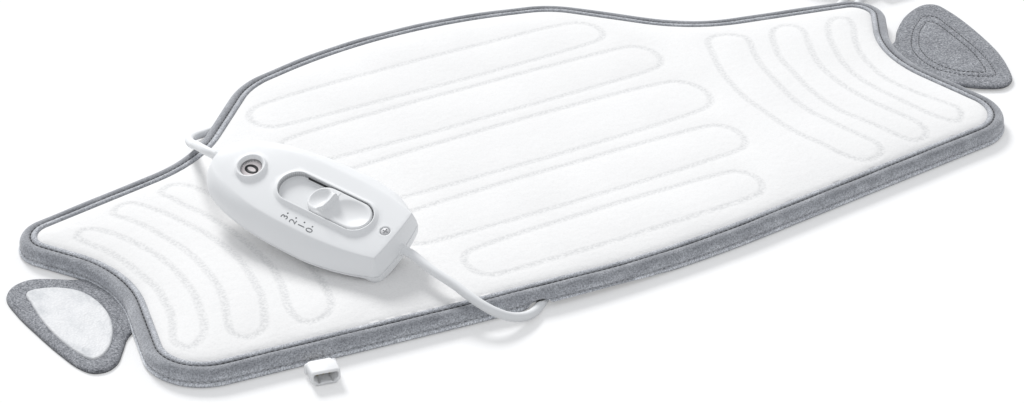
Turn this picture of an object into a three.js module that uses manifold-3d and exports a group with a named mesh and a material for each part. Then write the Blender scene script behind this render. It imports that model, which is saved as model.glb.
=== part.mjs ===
import * as THREE from 'three';
import { mergeVertices } from 'three/addons/utils/BufferGeometryUtils.js';
import startManifold from 'manifold-3d';

const kernel = await startManifold();
kernel.setup();

// Driving dimensions in millimetres
const seam = 0.3;

// Pad outline: half of the mirrored corner polygon as x, y, corner radius, steps
const padHalf = [
  [0, -164.3, 690, 4],
  [282, -134.6, 34, 5],
  [259.9, -27.6, 75, 4],
  [306.4, 43.3, 22, 5],
  [174.5, 71.4, 90, 3],
  [111.3, 141.5, 60, 3],
  [0, 171.6, 316, 4],
];
const outlineSpan = 62;
const spineReach = 0.72;
const spineDrop = 42;

// Pad layers
const bottomHeight = 7.2;
const paddingThick = 1.1;
const carrierThick = 0.5;
const wireDia = 1.4;
const coverThick = 1.8;
const bindingWidth = 10;
const bindingHeight = 9.6;
const bindingThick = 1.4;
const marginInset = 3.6;
const trackWidth = 2.6;
const trackDepth = 0.7;
const coverEase = 0.2;

// Closing tabs
const tabThick = 2.4;
const patchThick = 0.8;
const hingeX = 272;
const tabClear = 4.5;

// Coupling socket on the pad's front edge
const socketX = -200.4;
const socketY = -157.4;
const socketYaw = -11;
const socketWidth = 15.4;
const socketHeight = 8.6;
const socketDepth = 10.6;
const socketWall = 1.6;
const flangeThick = 1.8;
const flangeOver = 1.6;
const neckWidth = 11;
const neckHeight = 2.8;
const neckLength = 24;
const pinDia = 1.6;
const pinPitch = 3.2;

// Hand controller
const handX = -157;
const handY = -46.4;
const handYaw = -63.7;
const handPitch = 6.9;
const handRoll = 20;
const wall = 1.8;
const noseBendFrom = -5;
const noseBend = -0.0009;
const partDrop = 9;
const sideRound = 0.25;
const noseRoundFrom = -14;
const noseRoundReach = 36;
const deckCrown = 0.8;
const ringX = -34.8;
const ringOuter = 8.5;
const ringFlare = 1;
const ringInner = 5.9;
const ringBevel = 1.5;
const ringRise = 1.9;
const lensTop = -0.3;
const lensThick = 1.9;
const slotX = 16.5;
const slotLength = 59.8;
const slotWidth = 20;
const slotRim = 0.7;
const slotFlare = 2.2;
const slotRise = 1.9;
const slotDeep = 2.4;
const slotFloor = 1.4;
const buttonLength = 39;
const buttonWidth = 18.8;
const buttonThick = 3.2;
const ribX = 20.6;
const ribLength = 14;
const ribFoot = 4.2;
const ribBack = 1.4;
const ribHigh = 2.8;
const dishDeep = 1.5;
const switchStep = 5.8;
const stemLength = 6;
const stemWidth = 5.2;
const screwX = 56;
const noseRise = 3;
const noseSide = 2;
const boardThick = 1.6;
const boardTop = -12.2;

// Cords
const cordDia = 5.2;
const cordSides = 8;
const coilX = 308;
const coilY = 112;
const coilLift = 1.9;
const coilOuter = 33.5;
const coilPitch = 6.4;
const coilRise = 6.2;
const coilTurns = 1.21;
const coilStart = -62;
const plugX = 261;
const plugY = 154;

const whitePlush = look(0xf4f4f2, 0.95);
const wadding = look(0xe9e7e0, 0.95);
const carrierCloth = look(0xd8d4c8, 0.9);
const wireCoat = look(0xe6e2da, 0.5);
const bindingCloth = look(0x8f959e, 0.85);
const feltGrey = look(0x8a8c90, 0.95);
const hookWhite = look(0xf2f2f0, 0.8);
const whitePlastic = look(0xf3f3f1, 0.35);
const whiteCord = look(0xf1f1ef, 0.4);
const brass = look(0xc9a752, 0.3, 1);
const nickel = look(0xc8c8ca, 0.25, 1);
const boardGreen = look(0x3d7a4c, 0.6);
const darkPlastic = look(0x2b2c2f, 0.5);
const lensPink = look(0xf2e6e4, 0.2);
const lampAmber = look(0xf0c9a0, 0.3);
const filmBlue = look(0x5c7fb0, 0.4);
const glassClear = look(0xcfd6d2, 0.15);

const group = new THREE.Group();
group.name = 'heating_pad';

function look(color, roughness, metalness = 0) {
  return new THREE.MeshStandardMaterial({ color, roughness, metalness });
}

function add(name, geometry, material) {
  const mesh = new THREE.Mesh(geometry, material);
  mesh.name = name;
  group.add(mesh);
  return geometry;
}

function solid(geometry) {
  const plain = geometry.clone();
  plain.deleteAttribute('normal');
  plain.deleteAttribute('uv');
  const joined = mergeVertices(plain, 1e-4);
  const mesh = new kernel.Mesh({
    numProp: 3,
    vertProperties: new Float32Array(joined.attributes.position.array),
    triVerts: new Uint32Array(joined.index.array),
  });
  mesh.merge();
  return new kernel.Manifold(mesh);
}

function shell(body) {
  const mesh = body.getMesh();
  const geometry = new THREE.BufferGeometry();
  const points = [];
  for (let i = 0; i < mesh.numVert; i += 1) {
    const at = i * mesh.numProp;
    points.push(mesh.vertProperties[at], mesh.vertProperties[at + 1], mesh.vertProperties[at + 2]);
  }
  geometry.setAttribute('position', new THREE.Float32BufferAttribute(points, 3));
  geometry.setIndex(Array.from(mesh.triVerts));
  geometry.computeVertexNormals();
  return geometry;
}

function cut(geometry, ...tools) {
  let body = solid(geometry);
  for (const tool of tools) body = body.subtract(solid(tool));
  return shell(body);
}

function join(geometry, ...others) {
  let body = solid(geometry);
  for (const other of others) body = body.add(solid(other));
  return shell(body);
}

function common(geometry, other) {
  return shell(solid(geometry).intersect(solid(other)));
}

// The same solid with fewer facets, none moved by more than a tolerance
function eased(geometry, tolerance) {
  return shell(solid(geometry).asOriginal().simplify(tolerance));
}

function facing(positions, faces) {
  let volume = 0;
  const a = new THREE.Vector3();
  const b = new THREE.Vector3();
  const c = new THREE.Vector3();
  for (let i = 0; i < faces.length; i += 3) {
    a.fromArray(positions, faces[i] * 3);
    b.fromArray(positions, faces[i + 1] * 3);
    c.fromArray(positions, faces[i + 2] * 3);
    volume += a.dot(b.cross(c));
  }
  if (volume < 0) {
    for (let i = 0; i < faces.length; i += 3) {
      const keep = faces[i];
      faces[i] = faces[i + 1];
      faces[i + 1] = keep;
    }
  }
  const geometry = new THREE.BufferGeometry();
  geometry.setAttribute('position', new THREE.Float32BufferAttribute(positions, 3));
  geometry.setIndex(faces);
  geometry.computeVertexNormals();
  return geometry;
}

// Rings of points joined in order, with flat caps on the first and last ring
function loft(rings, axes) {
  const positions = [];
  const faces = [];
  const count = rings[0].length;
  for (const ring of rings) for (const point of ring) positions.push(point.x, point.y, point.z);
  for (let r = 0; r + 1 < rings.length; r += 1) {
    for (let i = 0; i < count; i += 1) {
      const next = (i + 1) % count;
      const low = r * count;
      const high = low + count;
      faces.push(low + i, low + next, high + next, low + i, high + next, high + i);
    }
  }
  for (const at of [0, rings.length - 1]) {
    const flat = rings[at].map((point) => new THREE.Vector2(point[axes[0]], point[axes[1]]));
    const area = THREE.ShapeUtils.area(flat);
    const order = flat.map((point, index) => index);
    if (area < 0) order.reverse();
    const contour = order.map((index) => flat[index]);
    for (const face of THREE.ShapeUtils.triangulateShape(contour, [])) {
      const ids = face.map((index) => at * count + order[index]);
      if ((at === 0) === (area > 0)) faces.push(ids[2], ids[1], ids[0]);
      else faces.push(ids[0], ids[1], ids[2]);
    }
  }
  return facing(positions, faces);
}

// Sections joined round a closed loop
function band(sections) {
  const positions = [];
  const faces = [];
  const count = sections[0].length;
  for (const section of sections) for (const point of section) positions.push(point.x, point.y, point.z);
  for (let s = 0; s < sections.length; s += 1) {
    const after = (s + 1) % sections.length;
    for (let i = 0; i < count; i += 1) {
      const next = (i + 1) % count;
      const low = s * count;
      const high = after * count;
      faces.push(low + i, low + next, high + next, low + i, high + next, high + i);
    }
  }
  return facing(positions, faces);
}

function box(x0, x1, y0, y1, z0, z1) {
  const geometry = new THREE.BoxGeometry(x1 - x0, y1 - y0, z1 - z0);
  geometry.translate((x0 + x1) / 2, (y0 + y1) / 2, (z0 + z1) / 2);
  return geometry;
}

function plate(shape, z0, z1, steps = 6) {
  const options = { depth: z1 - z0, bevelEnabled: false, curveSegments: steps };
  const geometry = new THREE.ExtrudeGeometry(shape, options);
  geometry.translate(0, 0, z0);
  return geometry;
}

function shapeOf(points) {
  return new THREE.Shape(points.map((point) => new THREE.Vector2(point.x ?? point[0], point.y ?? point[1])));
}

// Rounded rectangle centred on cx, cy
function rounded(cx, cy, length, width, radius) {
  const shape = new THREE.Shape();
  const x0 = cx - length / 2;
  const y0 = cy - width / 2;
  const x1 = cx + length / 2;
  const y1 = cy + width / 2;
  shape.moveTo(x0 + radius, y0);
  shape.lineTo(x1 - radius, y0);
  shape.absarc(x1 - radius, y0 + radius, radius, -Math.PI / 2, 0);
  shape.lineTo(x1, y1 - radius);
  shape.absarc(x1 - radius, y1 - radius, radius, 0, Math.PI / 2);
  shape.lineTo(x0 + radius, y1);
  shape.absarc(x0 + radius, y1 - radius, radius, Math.PI / 2, Math.PI);
  shape.lineTo(x0, y0 + radius);
  shape.absarc(x0 + radius, y0 + radius, radius, Math.PI, Math.PI * 1.5);
  return shape;
}

function disc(radius, z0, z1, steps = 24) {
  const geometry = new THREE.CylinderGeometry(radius, radius, z1 - z0, steps);
  geometry.rotateX(Math.PI / 2);
  geometry.translate(0, 0, (z0 + z1) / 2);
  return geometry;
}

function rod(radius, x0, x1, y, z, steps = 14) {
  const geometry = new THREE.CylinderGeometry(radius, radius, x1 - x0, steps);
  geometry.rotateZ(Math.PI / 2);
  geometry.translate((x0 + x1) / 2, y, z);
  return geometry;
}

function roundShape(radius, sides) {
  const points = [];
  for (let i = 0; i < sides; i += 1) {
    const angle = (i * 2 * Math.PI) / sides;
    points.push([Math.cos(angle) * radius, Math.sin(angle) * radius]);
  }
  return shapeOf(points);
}

// A route whose own points are the steps of the tube drawn along it
class Steps extends THREE.Curve {
  constructor(points) {
    super();
    this.points = points;
  }

  getPoint(t) {
    const at = t * (this.points.length - 1);
    const low = Math.min(Math.floor(at + 1e-9), this.points.length - 2);
    return this.points[low].clone().lerp(this.points[low + 1], at - low);
  }

  getPointAt(u) {
    return this.getPoint(u);
  }

  getSpacedPoints(divisions) {
    return Array.from({ length: divisions + 1 }, (unused, index) => this.getPoint(index / divisions));
  }

  getTangentAt(u) {
    const last = this.points.length - 1;
    const at = Math.round(u * last);
    const before = this.points[Math.max(at - 1, 0)];
    const after = this.points[Math.min(at + 1, last)];
    return after.clone().sub(before).normalize();
  }
}

function tube(points, diameter, sides) {
  const options = { steps: points.length - 1, bevelEnabled: false, extrudePath: new Steps(points) };
  return new THREE.ExtrudeGeometry(roundShape(diameter / 2, sides), options);
}

const v3 = (x, y, z) => new THREE.Vector3(x, y, z);
const deg = Math.PI / 180;

// Pad outline samples with inward normals
function outlineOf(corners) {
  const samples = [];
  const n = corners.length;
  for (let i = 0; i < n; i += 1) {
    const before = corners[(i + n - 1) % n];
    const [x, y, radius, steps] = corners[i];
    const after = corners[(i + 1) % n];
    const a1 = Math.atan2(y - before[1], x - before[0]);
    const a2 = Math.atan2(after[1] - y, after[0] - x);
    let turn = a2 - a1;
    if (turn > Math.PI) turn -= 2 * Math.PI;
    if (turn < -Math.PI) turn += 2 * Math.PI;
    const side = Math.sign(turn);
    const reach = radius * Math.tan(Math.abs(turn) / 2);
    const mx = x - Math.cos(a1) * reach - Math.sin(a1) * radius * side;
    const my = y - Math.sin(a1) * reach + Math.cos(a1) * radius * side;
    for (let k = 0; k <= steps; k += 1) {
      const a = a1 + (turn * k) / steps;
      const px = mx + Math.sin(a) * radius * side;
      const py = my - Math.cos(a) * radius * side;
      samples.push({ x: px, y: py, nx: -Math.sin(a), ny: Math.cos(a) });
    }
  }
  const filled = [];
  samples.forEach((sample, index) => {
    const next = samples[(index + 1) % samples.length];
    filled.push(sample);
    const gap = Math.hypot(next.x - sample.x, next.y - sample.y);
    const parts = Math.ceil(gap / outlineSpan);
    for (let k = 1; k < parts; k += 1) {
      const f = k / parts;
      filled.push({
        x: sample.x + (next.x - sample.x) * f,
        y: sample.y + (next.y - sample.y) * f,
        nx: sample.nx,
        ny: sample.ny,
      });
    }
  });
  return filled;
}

const mirrored = padHalf.slice(1, -1).reverse().map(([x, y, radius, steps]) => [-x, y, radius, steps]);
const outline = outlineOf([...padHalf, ...mirrored]);

function inset(distance, z) {
  return outline.map((s) => v3(s.x + s.nx * distance, s.y + s.ny * distance, z));
}

// Ring a share of the way from the binding's inner edge to the pad's spine
function inward(share, z) {
  return inset(bindingWidth + 0.9, z).map((point) => {
    const sx = point.x * spineReach;
    const sy = -spineDrop * (sx / 190) ** 2;
    return v3(point.x + (sx - point.x) * share, point.y + (sy - point.y) * share, z);
  });
}

const paddingLow = bottomHeight + seam;
const paddingTop = paddingLow + paddingThick;
const carrierLow = paddingTop + seam;
const carrierTop = carrierLow + carrierThick;
const wireZ = carrierTop + seam + wireDia / 2;
const coverLow = wireZ + wireDia / 2 + seam;
const padTop = coverLow + coverThick;

// Cord routes on the floor under the pad
const cordR = cordDia / 2;
const floorZ = cordR + 0.25;

// Hand controller shape, own frame: x to the tail, y to the far side, z up
function along(table, x) {
  for (let i = 1; i < table.length; i += 1) {
    if (x <= table[i][0]) {
      const [x0, v0] = table[i - 1];
      const [x1, v1] = table[i];
      return v0 + ((v1 - v0) * (x - x0)) / (x1 - x0);
    }
  }
  return table[table.length - 1][1];
}

const halfWidths = [
  [-61, 5], [-59.6, 10.4], [-56, 15.6], [-49, 21], [-40, 25], [-28, 28.4], [-14, 30.8], [3, 32], [20, 32.2],
  [38, 30.2], [52, 26.8], [61.8, 23], [64.6, 20], [66.4, 13.4], [67.6, 3.6],
];
const deckWidths = [
  [-61, 1.6], [-59.6, 4], [-56, 7.6], [-49, 11.6], [-40, 15.2], [-28, 19], [-14, 21.6], [3, 22.5], [20, 22.5],
  [38, 21.5], [52, 19.5], [61.8, 17.4], [62.2, 17.2], [64.6, 16], [66.4, 10.4], [67.6, 2.4],
];
const bellies = [[-61, 14.6], [-49, 15.6], [-28, 17.4], [0, 18.5], [30, 18.4], [61.8, 17.9], [67.6, 14]];
const endDrops = [
  [-61, 1.6], [-59.6, 0.9], [-56, 0.4], [-49, 0.1], [-40, 0], [61.8, 0], [62.2, 0.3], [67.6, 8],
];
const bendAt = (x) => noseBend * Math.max(0, noseBendFrom - x) ** 2;
const partAt = (x) => bendAt(x) - partDrop;

// Each side runs from the parting line to the deck edge, between a straight slope and a quarter ellipse
function topSection(x, less) {
  const w = along(halfWidths, x) - less;
  const d = along(deckWidths, x) - less;
  const high = bendAt(x) - along(endDrops, x) - less;
  const low = partAt(x);
  const round = Math.min(1, sideRound + (1 - sideRound) * Math.max(0, (noseRoundFrom - x) / noseRoundReach));
  const crown = deckCrown * Math.min(1, w / 20);
  const side = [0, 0.35, 0.7, 0.92, 1].map((t) => {
    const turn = t * 90 * deg;
    const out = (1 - t) * (1 - round) + Math.cos(turn) * round;
    const rise = t * (1 - round) + Math.sin(turn) * round;
    return [d + (w - d) * out, low + (high - low) * rise];
  });
  const left = side.map(([y, z]) => v3(x, -y, z));
  const right = side.map(([y, z]) => v3(x, y, z)).reverse();
  return [...left, v3(x, 0, high + crown), ...right];
}

function lowSection(x, less) {
  const w = along(halfWidths, x) - less;
  const high = partAt(x) - seam;
  const deep = bendAt(x) - along(bellies, x) + less;
  const drop = high - deep;
  const side = [
    [w, high],
    [w * 0.965, high - drop * 0.3],
    [w * 0.83, high - drop * 0.66],
    [w * 0.52, high - drop * 0.93],
  ];
  const left = side.map(([y, z]) => v3(x, -y, z));
  const right = side.map(([y, z]) => v3(x, y, z)).reverse();
  return [...left, v3(x, 0, deep), ...right];
}

const stations = [-61, -59.6, -56, -49, -40, -28, -14, 3, 20, 38, 52, 61.8, 62.2, 64.6, 66.4, 67.6];
const inner = [-58.4, -56, -49, -40, -28, -14, 3, 20, 38, 52, 60];
const topOuter = loft(stations.map((x) => topSection(x, 0)), ['y', 'z']);
const lowOuter = loft(stations.map((x) => lowSection(x, 0)), ['y', 'z']);
const lower = (points, by) => points.map((p, i) => (i === 0 || i === points.length - 1 ? v3(p.x, p.y, p.z + by) : p));
const topVoid = loft([...inner, 61.2].map((x) => lower(topSection(x, wall), -1)), ['y', 'z']);
const lowVoid = loft([...inner, 63.6].map((x) => lower(lowSection(x, wall), 1)), ['y', 'z']);

const ringTilt = Math.atan(2 * noseBend * (noseBendFrom - ringX));
function atRing(geometry) {
  geometry.rotateY(ringTilt);
  geometry.translate(ringX, 0, bendAt(ringX) + deckCrown);
  return geometry;
}

const rimOut = (grow, z0, z1) => plate(
  rounded(slotX, 0, slotLength + grow, slotWidth + grow, (slotWidth + grow) / 2 - 0.05), z0, z1, 7,
);
const tubBottom = deckCrown - slotDeep - slotFloor;
const buttonEnd = slotX + slotLength / 2 - 0.8;
const buttonMid = buttonEnd - buttonLength / 2;
const stemX = ribX;
const travel = switchStep * 3;
const slotCut = box(
  stemX - stemLength / 2 - travel - 0.4, stemX + stemLength / 2 + 0.4,
  -stemWidth / 2 - 0.3, stemWidth / 2 + 0.3, tubBottom - 2, deckCrown,
);
const tailZ = partAt(60) - seam / 2;
const noseZ = partAt(-58.5) - seam / 2 + noseRise;
const grommetR = cordR + seam + 1;
const tailHole = rod(grommetR + seam, 55, 71, 0, tailZ);
const noseHole = rod(grommetR + seam, -70, -54, noseSide, noseZ);
const screwSeat = deckCrown + bendAt(screwX) - 1.9;
const headRoom = disc(3.1, screwSeat, 10, 18);
headRoom.translate(screwX, 0, 0);
const shaftRoom = disc(1.7, -6, 10, 14);
shaftRoom.translate(screwX, 0, 0);
const screwBoss = disc(4.6, -3.6, 0, 16);
screwBoss.translate(screwX, 0, 0);

let upper = cut(topOuter, topVoid);
const rimRing = (grow, z) => {
  const wide = slotWidth + 2 * grow;
  return rounded(slotX, 0, slotLength + 2 * grow, wide, wide / 2 - 0.05).getPoints(7).slice(0, -1)
    .map((point) => v3(point.x, point.y, z));
};
const slotTub = loft([
  rimRing(slotRim + slotFlare, tubBottom),
  rimRing(slotRim + slotFlare, deckCrown - 0.2),
  rimRing(slotRim, deckCrown + slotRise),
], ['x', 'y']);
const spun = (profile, steps) => {
  const geometry = new THREE.LatheGeometry(profile.map(([r, z]) => new THREE.Vector2(r, z)), steps);
  return atRing(geometry.rotateX(Math.PI / 2));
};
const collar = spun([
  [0, -4], [ringOuter + ringFlare, -4], [ringOuter + ringFlare, -0.4], [ringOuter, ringRise - 0.4],
  [ringOuter - 0.5, ringRise], [0, ringRise],
], 28);
const collarBevel = spun([
  [0, lensTop], [ringInner, lensTop], [ringInner + ringBevel, ringRise - 0.2], [ringInner + ringBevel, 10], [0, 10],
], 28);
upper = join(upper, slotTub, collar);
upper = join(upper, common(screwBoss, topOuter));
upper = cut(
  upper,
  rimOut(0, deckCrown - slotDeep, 10),
  slotCut,
  atRing(disc(ringInner, -12, 12, 28)),
  collarBevel,
  headRoom,
  shaftRoom,
  tailHole,
  noseHole,
);

const boardFrom = -20;
const boardTo = 43;
const boardHalf = 12.2;
const postAt = [[-15, 9], [-15, -9], [38, 9], [38, -9]];
let base = cut(lowOuter, lowVoid);
const barLow = tailZ + cordR + seam;
const barHigh = -3.6 - seam;
const posts = postAt.map(([x, y]) => {
  const post = disc(2, -19.5, boardTop - boardThick - seam, 10);
  post.translate(x, y, 0);
  return post;
});
const barPosts = [-13.5, 13.5].map((y) => box(53.5, 59.5, y - 2.5, y + 2.5, -19.5, barLow - seam));
const noseSeats = [-7, 7].map((y) => box(
  -53.5, -50.5, noseSide + y - 1.6, noseSide + y + 1.6, noseZ - 10, noseZ + cordR,
));
base = join(base, ...[...posts, ...barPosts, ...noseSeats].map((post) => common(post, lowOuterTall())));
base = cut(base, tailHole, noseHole);

// The lower shell's own space carried up past the parting line, to trim posts against
function lowOuterTall() {
  const room = inner.map((x) => {
    const ring = lowSection(x, wall * 0.5);
    return lower(ring, 14).map((p, i) => (i === 0 || i === ring.length - 1 ? v3(p.x, p.y * 0.9, p.z) : p));
  });
  return loft(room, ['y', 'z']);
}

const handPlace = new THREE.Matrix4().makeRotationFromEuler(
  new THREE.Euler(handRoll * deg, handPitch * deg, handYaw * deg, 'ZYX'),
);
const trial = base.clone().applyMatrix4(handPlace);
trial.computeBoundingBox();
const handZ = padTop + 0.35 - trial.boundingBox.min.z;
handPlace.setPosition(handX, handY, handZ);
const hand = (name, geometry, material) => add(name, geometry.applyMatrix4(handPlace), material);
const toWorld = (x, y, z) => v3(x, y, z).applyMatrix4(handPlace);

hand('upper_shell', upper, whitePlastic);
hand('lower_shell', base, whitePlastic);

// Window, lamp and slide switch
const lensReach = ringInner - seam;
const lens = spun([
  [0, lensTop - lensThick], [lensReach, lensTop - lensThick], [lensReach, lensTop - 0.5],
  [lensReach - 0.8, lensTop - 0.2], [0, lensTop],
], 24);
hand('indicator_lens', lens, lensPink);
hand('indicator_lamp', atRing(join(disc(lensReach, -4.6, -3.4, 16), disc(2.4, -3.5, -2.5, 12))), lampAmber);

const buttonTop = deckCrown - slotDeep + seam + buttonThick;
const slabShape = rounded(buttonMid, 0, buttonLength, buttonWidth, buttonWidth / 2 - 0.05);
const slab = plate(slabShape, buttonTop - buttonThick, buttonTop, 7);
const dish = (x, reach) => {
  const scoop = new THREE.SphereGeometry(1, 14, 8);
  scoop.scale(reach, buttonWidth * 0.43, dishDeep);
  scoop.translate(x, 0, buttonTop + 0.05);
  return scoop;
};
const scoops = [dish(ribX - 7.6, 6), dish(ribX + 12.6, 11)];
const ribFloor = buttonTop - dishDeep - 0.2;
const ribRing = (y, rise) => [
  v3(ribX - ribFoot, y, ribFloor), v3(ribX + ribBack, y, ribFloor),
  v3(ribX + ribBack * 0.4, y, buttonTop + rise), v3(ribX - ribBack * 0.4, y, buttonTop + rise),
];
const rib = loft([
  ribRing(-ribLength / 2, ribHigh * 0.4), ribRing(-ribLength * 0.4, ribHigh),
  ribRing(ribLength * 0.4, ribHigh), ribRing(ribLength / 2, ribHigh * 0.4),
], ['x', 'z']);
const carriageHigh = tubBottom - seam;
const carriageLow = carriageHigh - 2.4;
const stem = box(
  stemX - stemLength / 2, stemX + stemLength / 2, -stemWidth / 2, stemWidth / 2, carriageLow, ribFloor,
);
hand('slide_button', join(cut(slab, ...scoops), rib, stem), whitePlastic);
const carriage = cut(
  box(stemX - 10, stemX + 10, -6, 6, carriageLow, carriageHigh),
  box(
    stemX - stemLength / 2 - seam, stemX + stemLength / 2 + seam,
    -stemWidth / 2 - seam, stemWidth / 2 + seam, carriageLow - 1, carriageHigh + 1,
  ),
);
hand('switch_carriage', carriage, darkPlastic);
const bridgeHigh = carriageLow - seam;
const contactTop = boardTop + seam + 0.5;
const bridge = join(
  box(stemX - 4, stemX + 4, -2.4, 2.4, bridgeHigh - 0.7, bridgeHigh),
  box(stemX - 4, stemX - 3.2, -2.4, 2.4, contactTop + seam, bridgeHigh - 0.3),
  box(stemX + 3.2, stemX + 4, -2.4, 2.4, contactTop + seam, bridgeHigh - 0.3),
);
hand('contact_bridge', bridge, brass);
const leaf = shapeOf([
  [stemX - 24, 7.6], [stemX - 14, 7.6], [stemX - 12, 6.5], [stemX - 10, 7.6], [stemX + 6, 7.6],
  [stemX + 6, 8.4], [stemX - 10.3, 8.4], [stemX - 12, 7.4], [stemX - 13.7, 8.4], [stemX - 24, 8.4],
]);
hand('detent_spring', plate(leaf, carriageLow, carriageHigh - 0.2), nickel);
const board = plate(
  rounded((boardFrom + boardTo) / 2, 0, boardTo - boardFrom, boardHalf * 2, 3), boardTop - boardThick, boardTop, 3,
);
hand('circuit_board', board, boardGreen);
for (let k = 0; k < 4; k += 1) {
  const x = stemX - k * switchStep;
  hand(`contact_${k}`, box(x - 2, x + 2, -3, 3, boardTop + seam, contactTop), brass);
}
hand('fuse', rod(2, -14, 2, -9.5, boardTop + seam + 2, 12), glassClear);
hand('capacitor', box(28, 38, -12.5, -6.5, boardTop + seam, boardTop + seam + 5.2), filmBlue);
hand('diode', rod(1.4, 30, 37, 9.5, boardTop + seam + 1.4, 10), darkPlastic);
const bar = cut(box(53.5, 59.5, -16, 16, barLow, barHigh), shaftRoom);
hand('tail_clamp', bar, darkPlastic);
const head = new THREE.LatheGeometry([
  new THREE.Vector2(0, barLow + 0.4),
  new THREE.Vector2(1.35, barLow + 0.4),
  new THREE.Vector2(1.35, screwSeat + seam),
  new THREE.Vector2(2.7, screwSeat + seam),
  new THREE.Vector2(2.5, screwSeat + 1.6),
  new THREE.Vector2(0, screwSeat + 1.8),
], 16);
head.rotateX(Math.PI / 2);
const crossA = box(-1.6, 1.6, -0.3, 0.3, screwSeat + 1.1, screwSeat + 3);
const crossB = box(-0.3, 0.3, -1.6, 1.6, screwSeat + 1.1, screwSeat + 3);
const screw = cut(head, crossA, crossB);
screw.translate(screwX, 0, 0);
hand('case_screw', screw, nickel);
const barFloor = noseZ + cordR + seam;
const noseBar = box(-53.5, -50.5, noseSide - 7.8, noseSide + 7.4, barFloor, barFloor + 1.2);
hand('nose_clamp', noseBar, darkPlastic);
const bush = (x0, x1, y, z) => cut(
  rod(grommetR, x0, x1, y, z, 16),
  rod(cordR + seam + 0.15, x0 - 2, x1 + 2, y, z, 16),
);
hand('tail_grommet', bush(61.6, 67.8, 0, tailZ), whitePlastic);
hand('nose_grommet', bush(-62.6, -56.4, noseSide, noseZ), whitePlastic);

// Cord routes: controller end computed, the rest chosen by hand
const leadRoute = [
  toWorld(49, 0, tailZ),
  toWorld(58, 0, tailZ),
  toWorld(66, 0, tailZ),
  toWorld(72, 0, tailZ),
  v3(-119.3, -122.2, 21.4),
  v3(-112.3, -135.9, 18),
  v3(-106.2, -149.6, 14.4),
  v3(-101.2, -160.2, 11.2),
  v3(-94.8, -166.6, 7.6),
  v3(-86, -167, 4.4),
  v3(-76.6, -161.8, floorZ),
  v3(-66, -153, floorZ),
  v3(-45, -134, floorZ),
  v3(10, -92, floorZ),
  v3(90, -48, floorZ),
  v3(170, -14, floorZ),
  v3(230, 12, floorZ),
  v3(268, 34, floorZ),
  v3(288, 48.6, floorZ),
  v3(302, 57.6, 3.8),
  v3(311, 60, 4.6),
  v3(316, 60, 4.6),
  v3(322, 60, 4.6),
];
const mainsRoute = [
  toWorld(-46, noseSide, noseZ),
  toWorld(-54, noseSide, noseZ),
  toWorld(-61, noseSide, noseZ),
  toWorld(-68.5, noseSide, noseZ),
  v3(-181.6, 37.4, 36),
  v3(-175.6, 58.4, 25),
  v3(-170.2, 76.2, 16.5),
  v3(-166.7, 86, 12),
  v3(-162.2, 94.4, 8),
  v3(-157.1, 100.5, 5),
  v3(-150.4, 104, 3.2),
  v3(-139, 105.4, floorZ),
  v3(-100, 100, floorZ),
  v3(-20, 84, floorZ),
  v3(60, 66, floorZ),
  v3(130, 48, floorZ),
  v3(186, 36.5, floorZ),
  v3(226, 34.5, floorZ),
  v3(256, 41.5, floorZ),
  v3(284, 57, 3.6),
];

// Coil: four layers in and out, a half turn at each reversal climbs one layer
function coilPoints() {
  const points = [];
  const each = 24;
  const half = each / 2;
  const layer = Math.round(each * coilTurns);
  let radius = coilOuter;
  let z = cordR + coilLift;
  let step = 0;
  const put = () => {
    const angle = coilStart * deg + (step * 2 * Math.PI) / each;
    points.push(v3(coilX + Math.cos(angle) * radius, coilY + Math.sin(angle) * radius, z));
    step += 1;
  };
  for (let k = 0; k < 4; k += 1) {
    const way = k % 2 === 0 ? -1 : 1;
    for (let i = 0; i < layer; i += 1) {
      put();
      radius += (way * coilPitch) / each;
    }
    if (k < 3) {
      for (let i = 0; i < half; i += 1) {
        put();
        z += coilRise / half;
      }
    }
  }
  put();
  return points;
}

const wound = coilPoints();
const leave = wound[wound.length - 1];
const leaveWay = leave.clone().sub(wound[wound.length - 2]).normalize();

function smooth(points, step) {
  const curve = new THREE.CatmullRomCurve3(points, false, 'centripetal');
  const count = Math.max(8, Math.round(curve.getLength() / step));
  return curve.getSpacedPoints(count);
}

const enterCoil = wound[0].clone();
const enterWay = wound[1].clone().sub(wound[0]).normalize();
const runRoute = [...mainsRoute, enterCoil.clone().addScaledVector(enterWay, -cordDia * 1.2)];
const runPoints = smooth(runRoute, 12);
const leadPoints = smooth(leadRoute, 11.5);
const plugZ = 7.4;
const tailRoute = [
  leave,
  leave.clone().addScaledVector(leaveWay, cordDia * 1.2),
  leave.clone().addScaledVector(leaveWay, cordDia * 3.9),
  v3(plugX + 26, plugY + 2.6, 17),
  v3(plugX + 11, plugY + 0.8, 10.2),
  v3(plugX, plugY, plugZ),
  v3(plugX - 9, plugY, plugZ),
];
const tailPoints = smooth(tailRoute, 9);
const coilTube = [
  enterCoil.clone().addScaledVector(enterWay, -cordDia),
  ...wound.slice(0, -1),
  ...tailPoints,
];
add('mains_cord', tube(runPoints, cordDia, cordSides), whiteCord);
add('mains_coil', tube(coilTube, cordDia, 6), whiteCord);
add('pad_lead', tube(leadPoints, cordDia, cordSides), whiteCord);

// Channels that the soft pad forms over the cords lying under it
function channel(route, from, to, half, high) {
  const curve = new THREE.CatmullRomCurve3(route, false, 'centripetal');
  const last = route.length - 1;
  const left = [];
  const right = [];
  const count = (to - from) * 3;
  for (let i = 0; i <= count; i += 1) {
    const t = (from + ((to - from) * i) / count) / last;
    const point = curve.getPoint(t);
    const way = curve.getTangent(t);
    const size = Math.hypot(way.x, way.y);
    left.push([point.x - (way.y / size) * half, point.y + (way.x / size) * half]);
    right.push([point.x + (way.y / size) * half, point.y - (way.x / size) * half]);
  }
  return plate(shapeOf([...left, ...right.reverse()]), -1, high);
}

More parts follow.
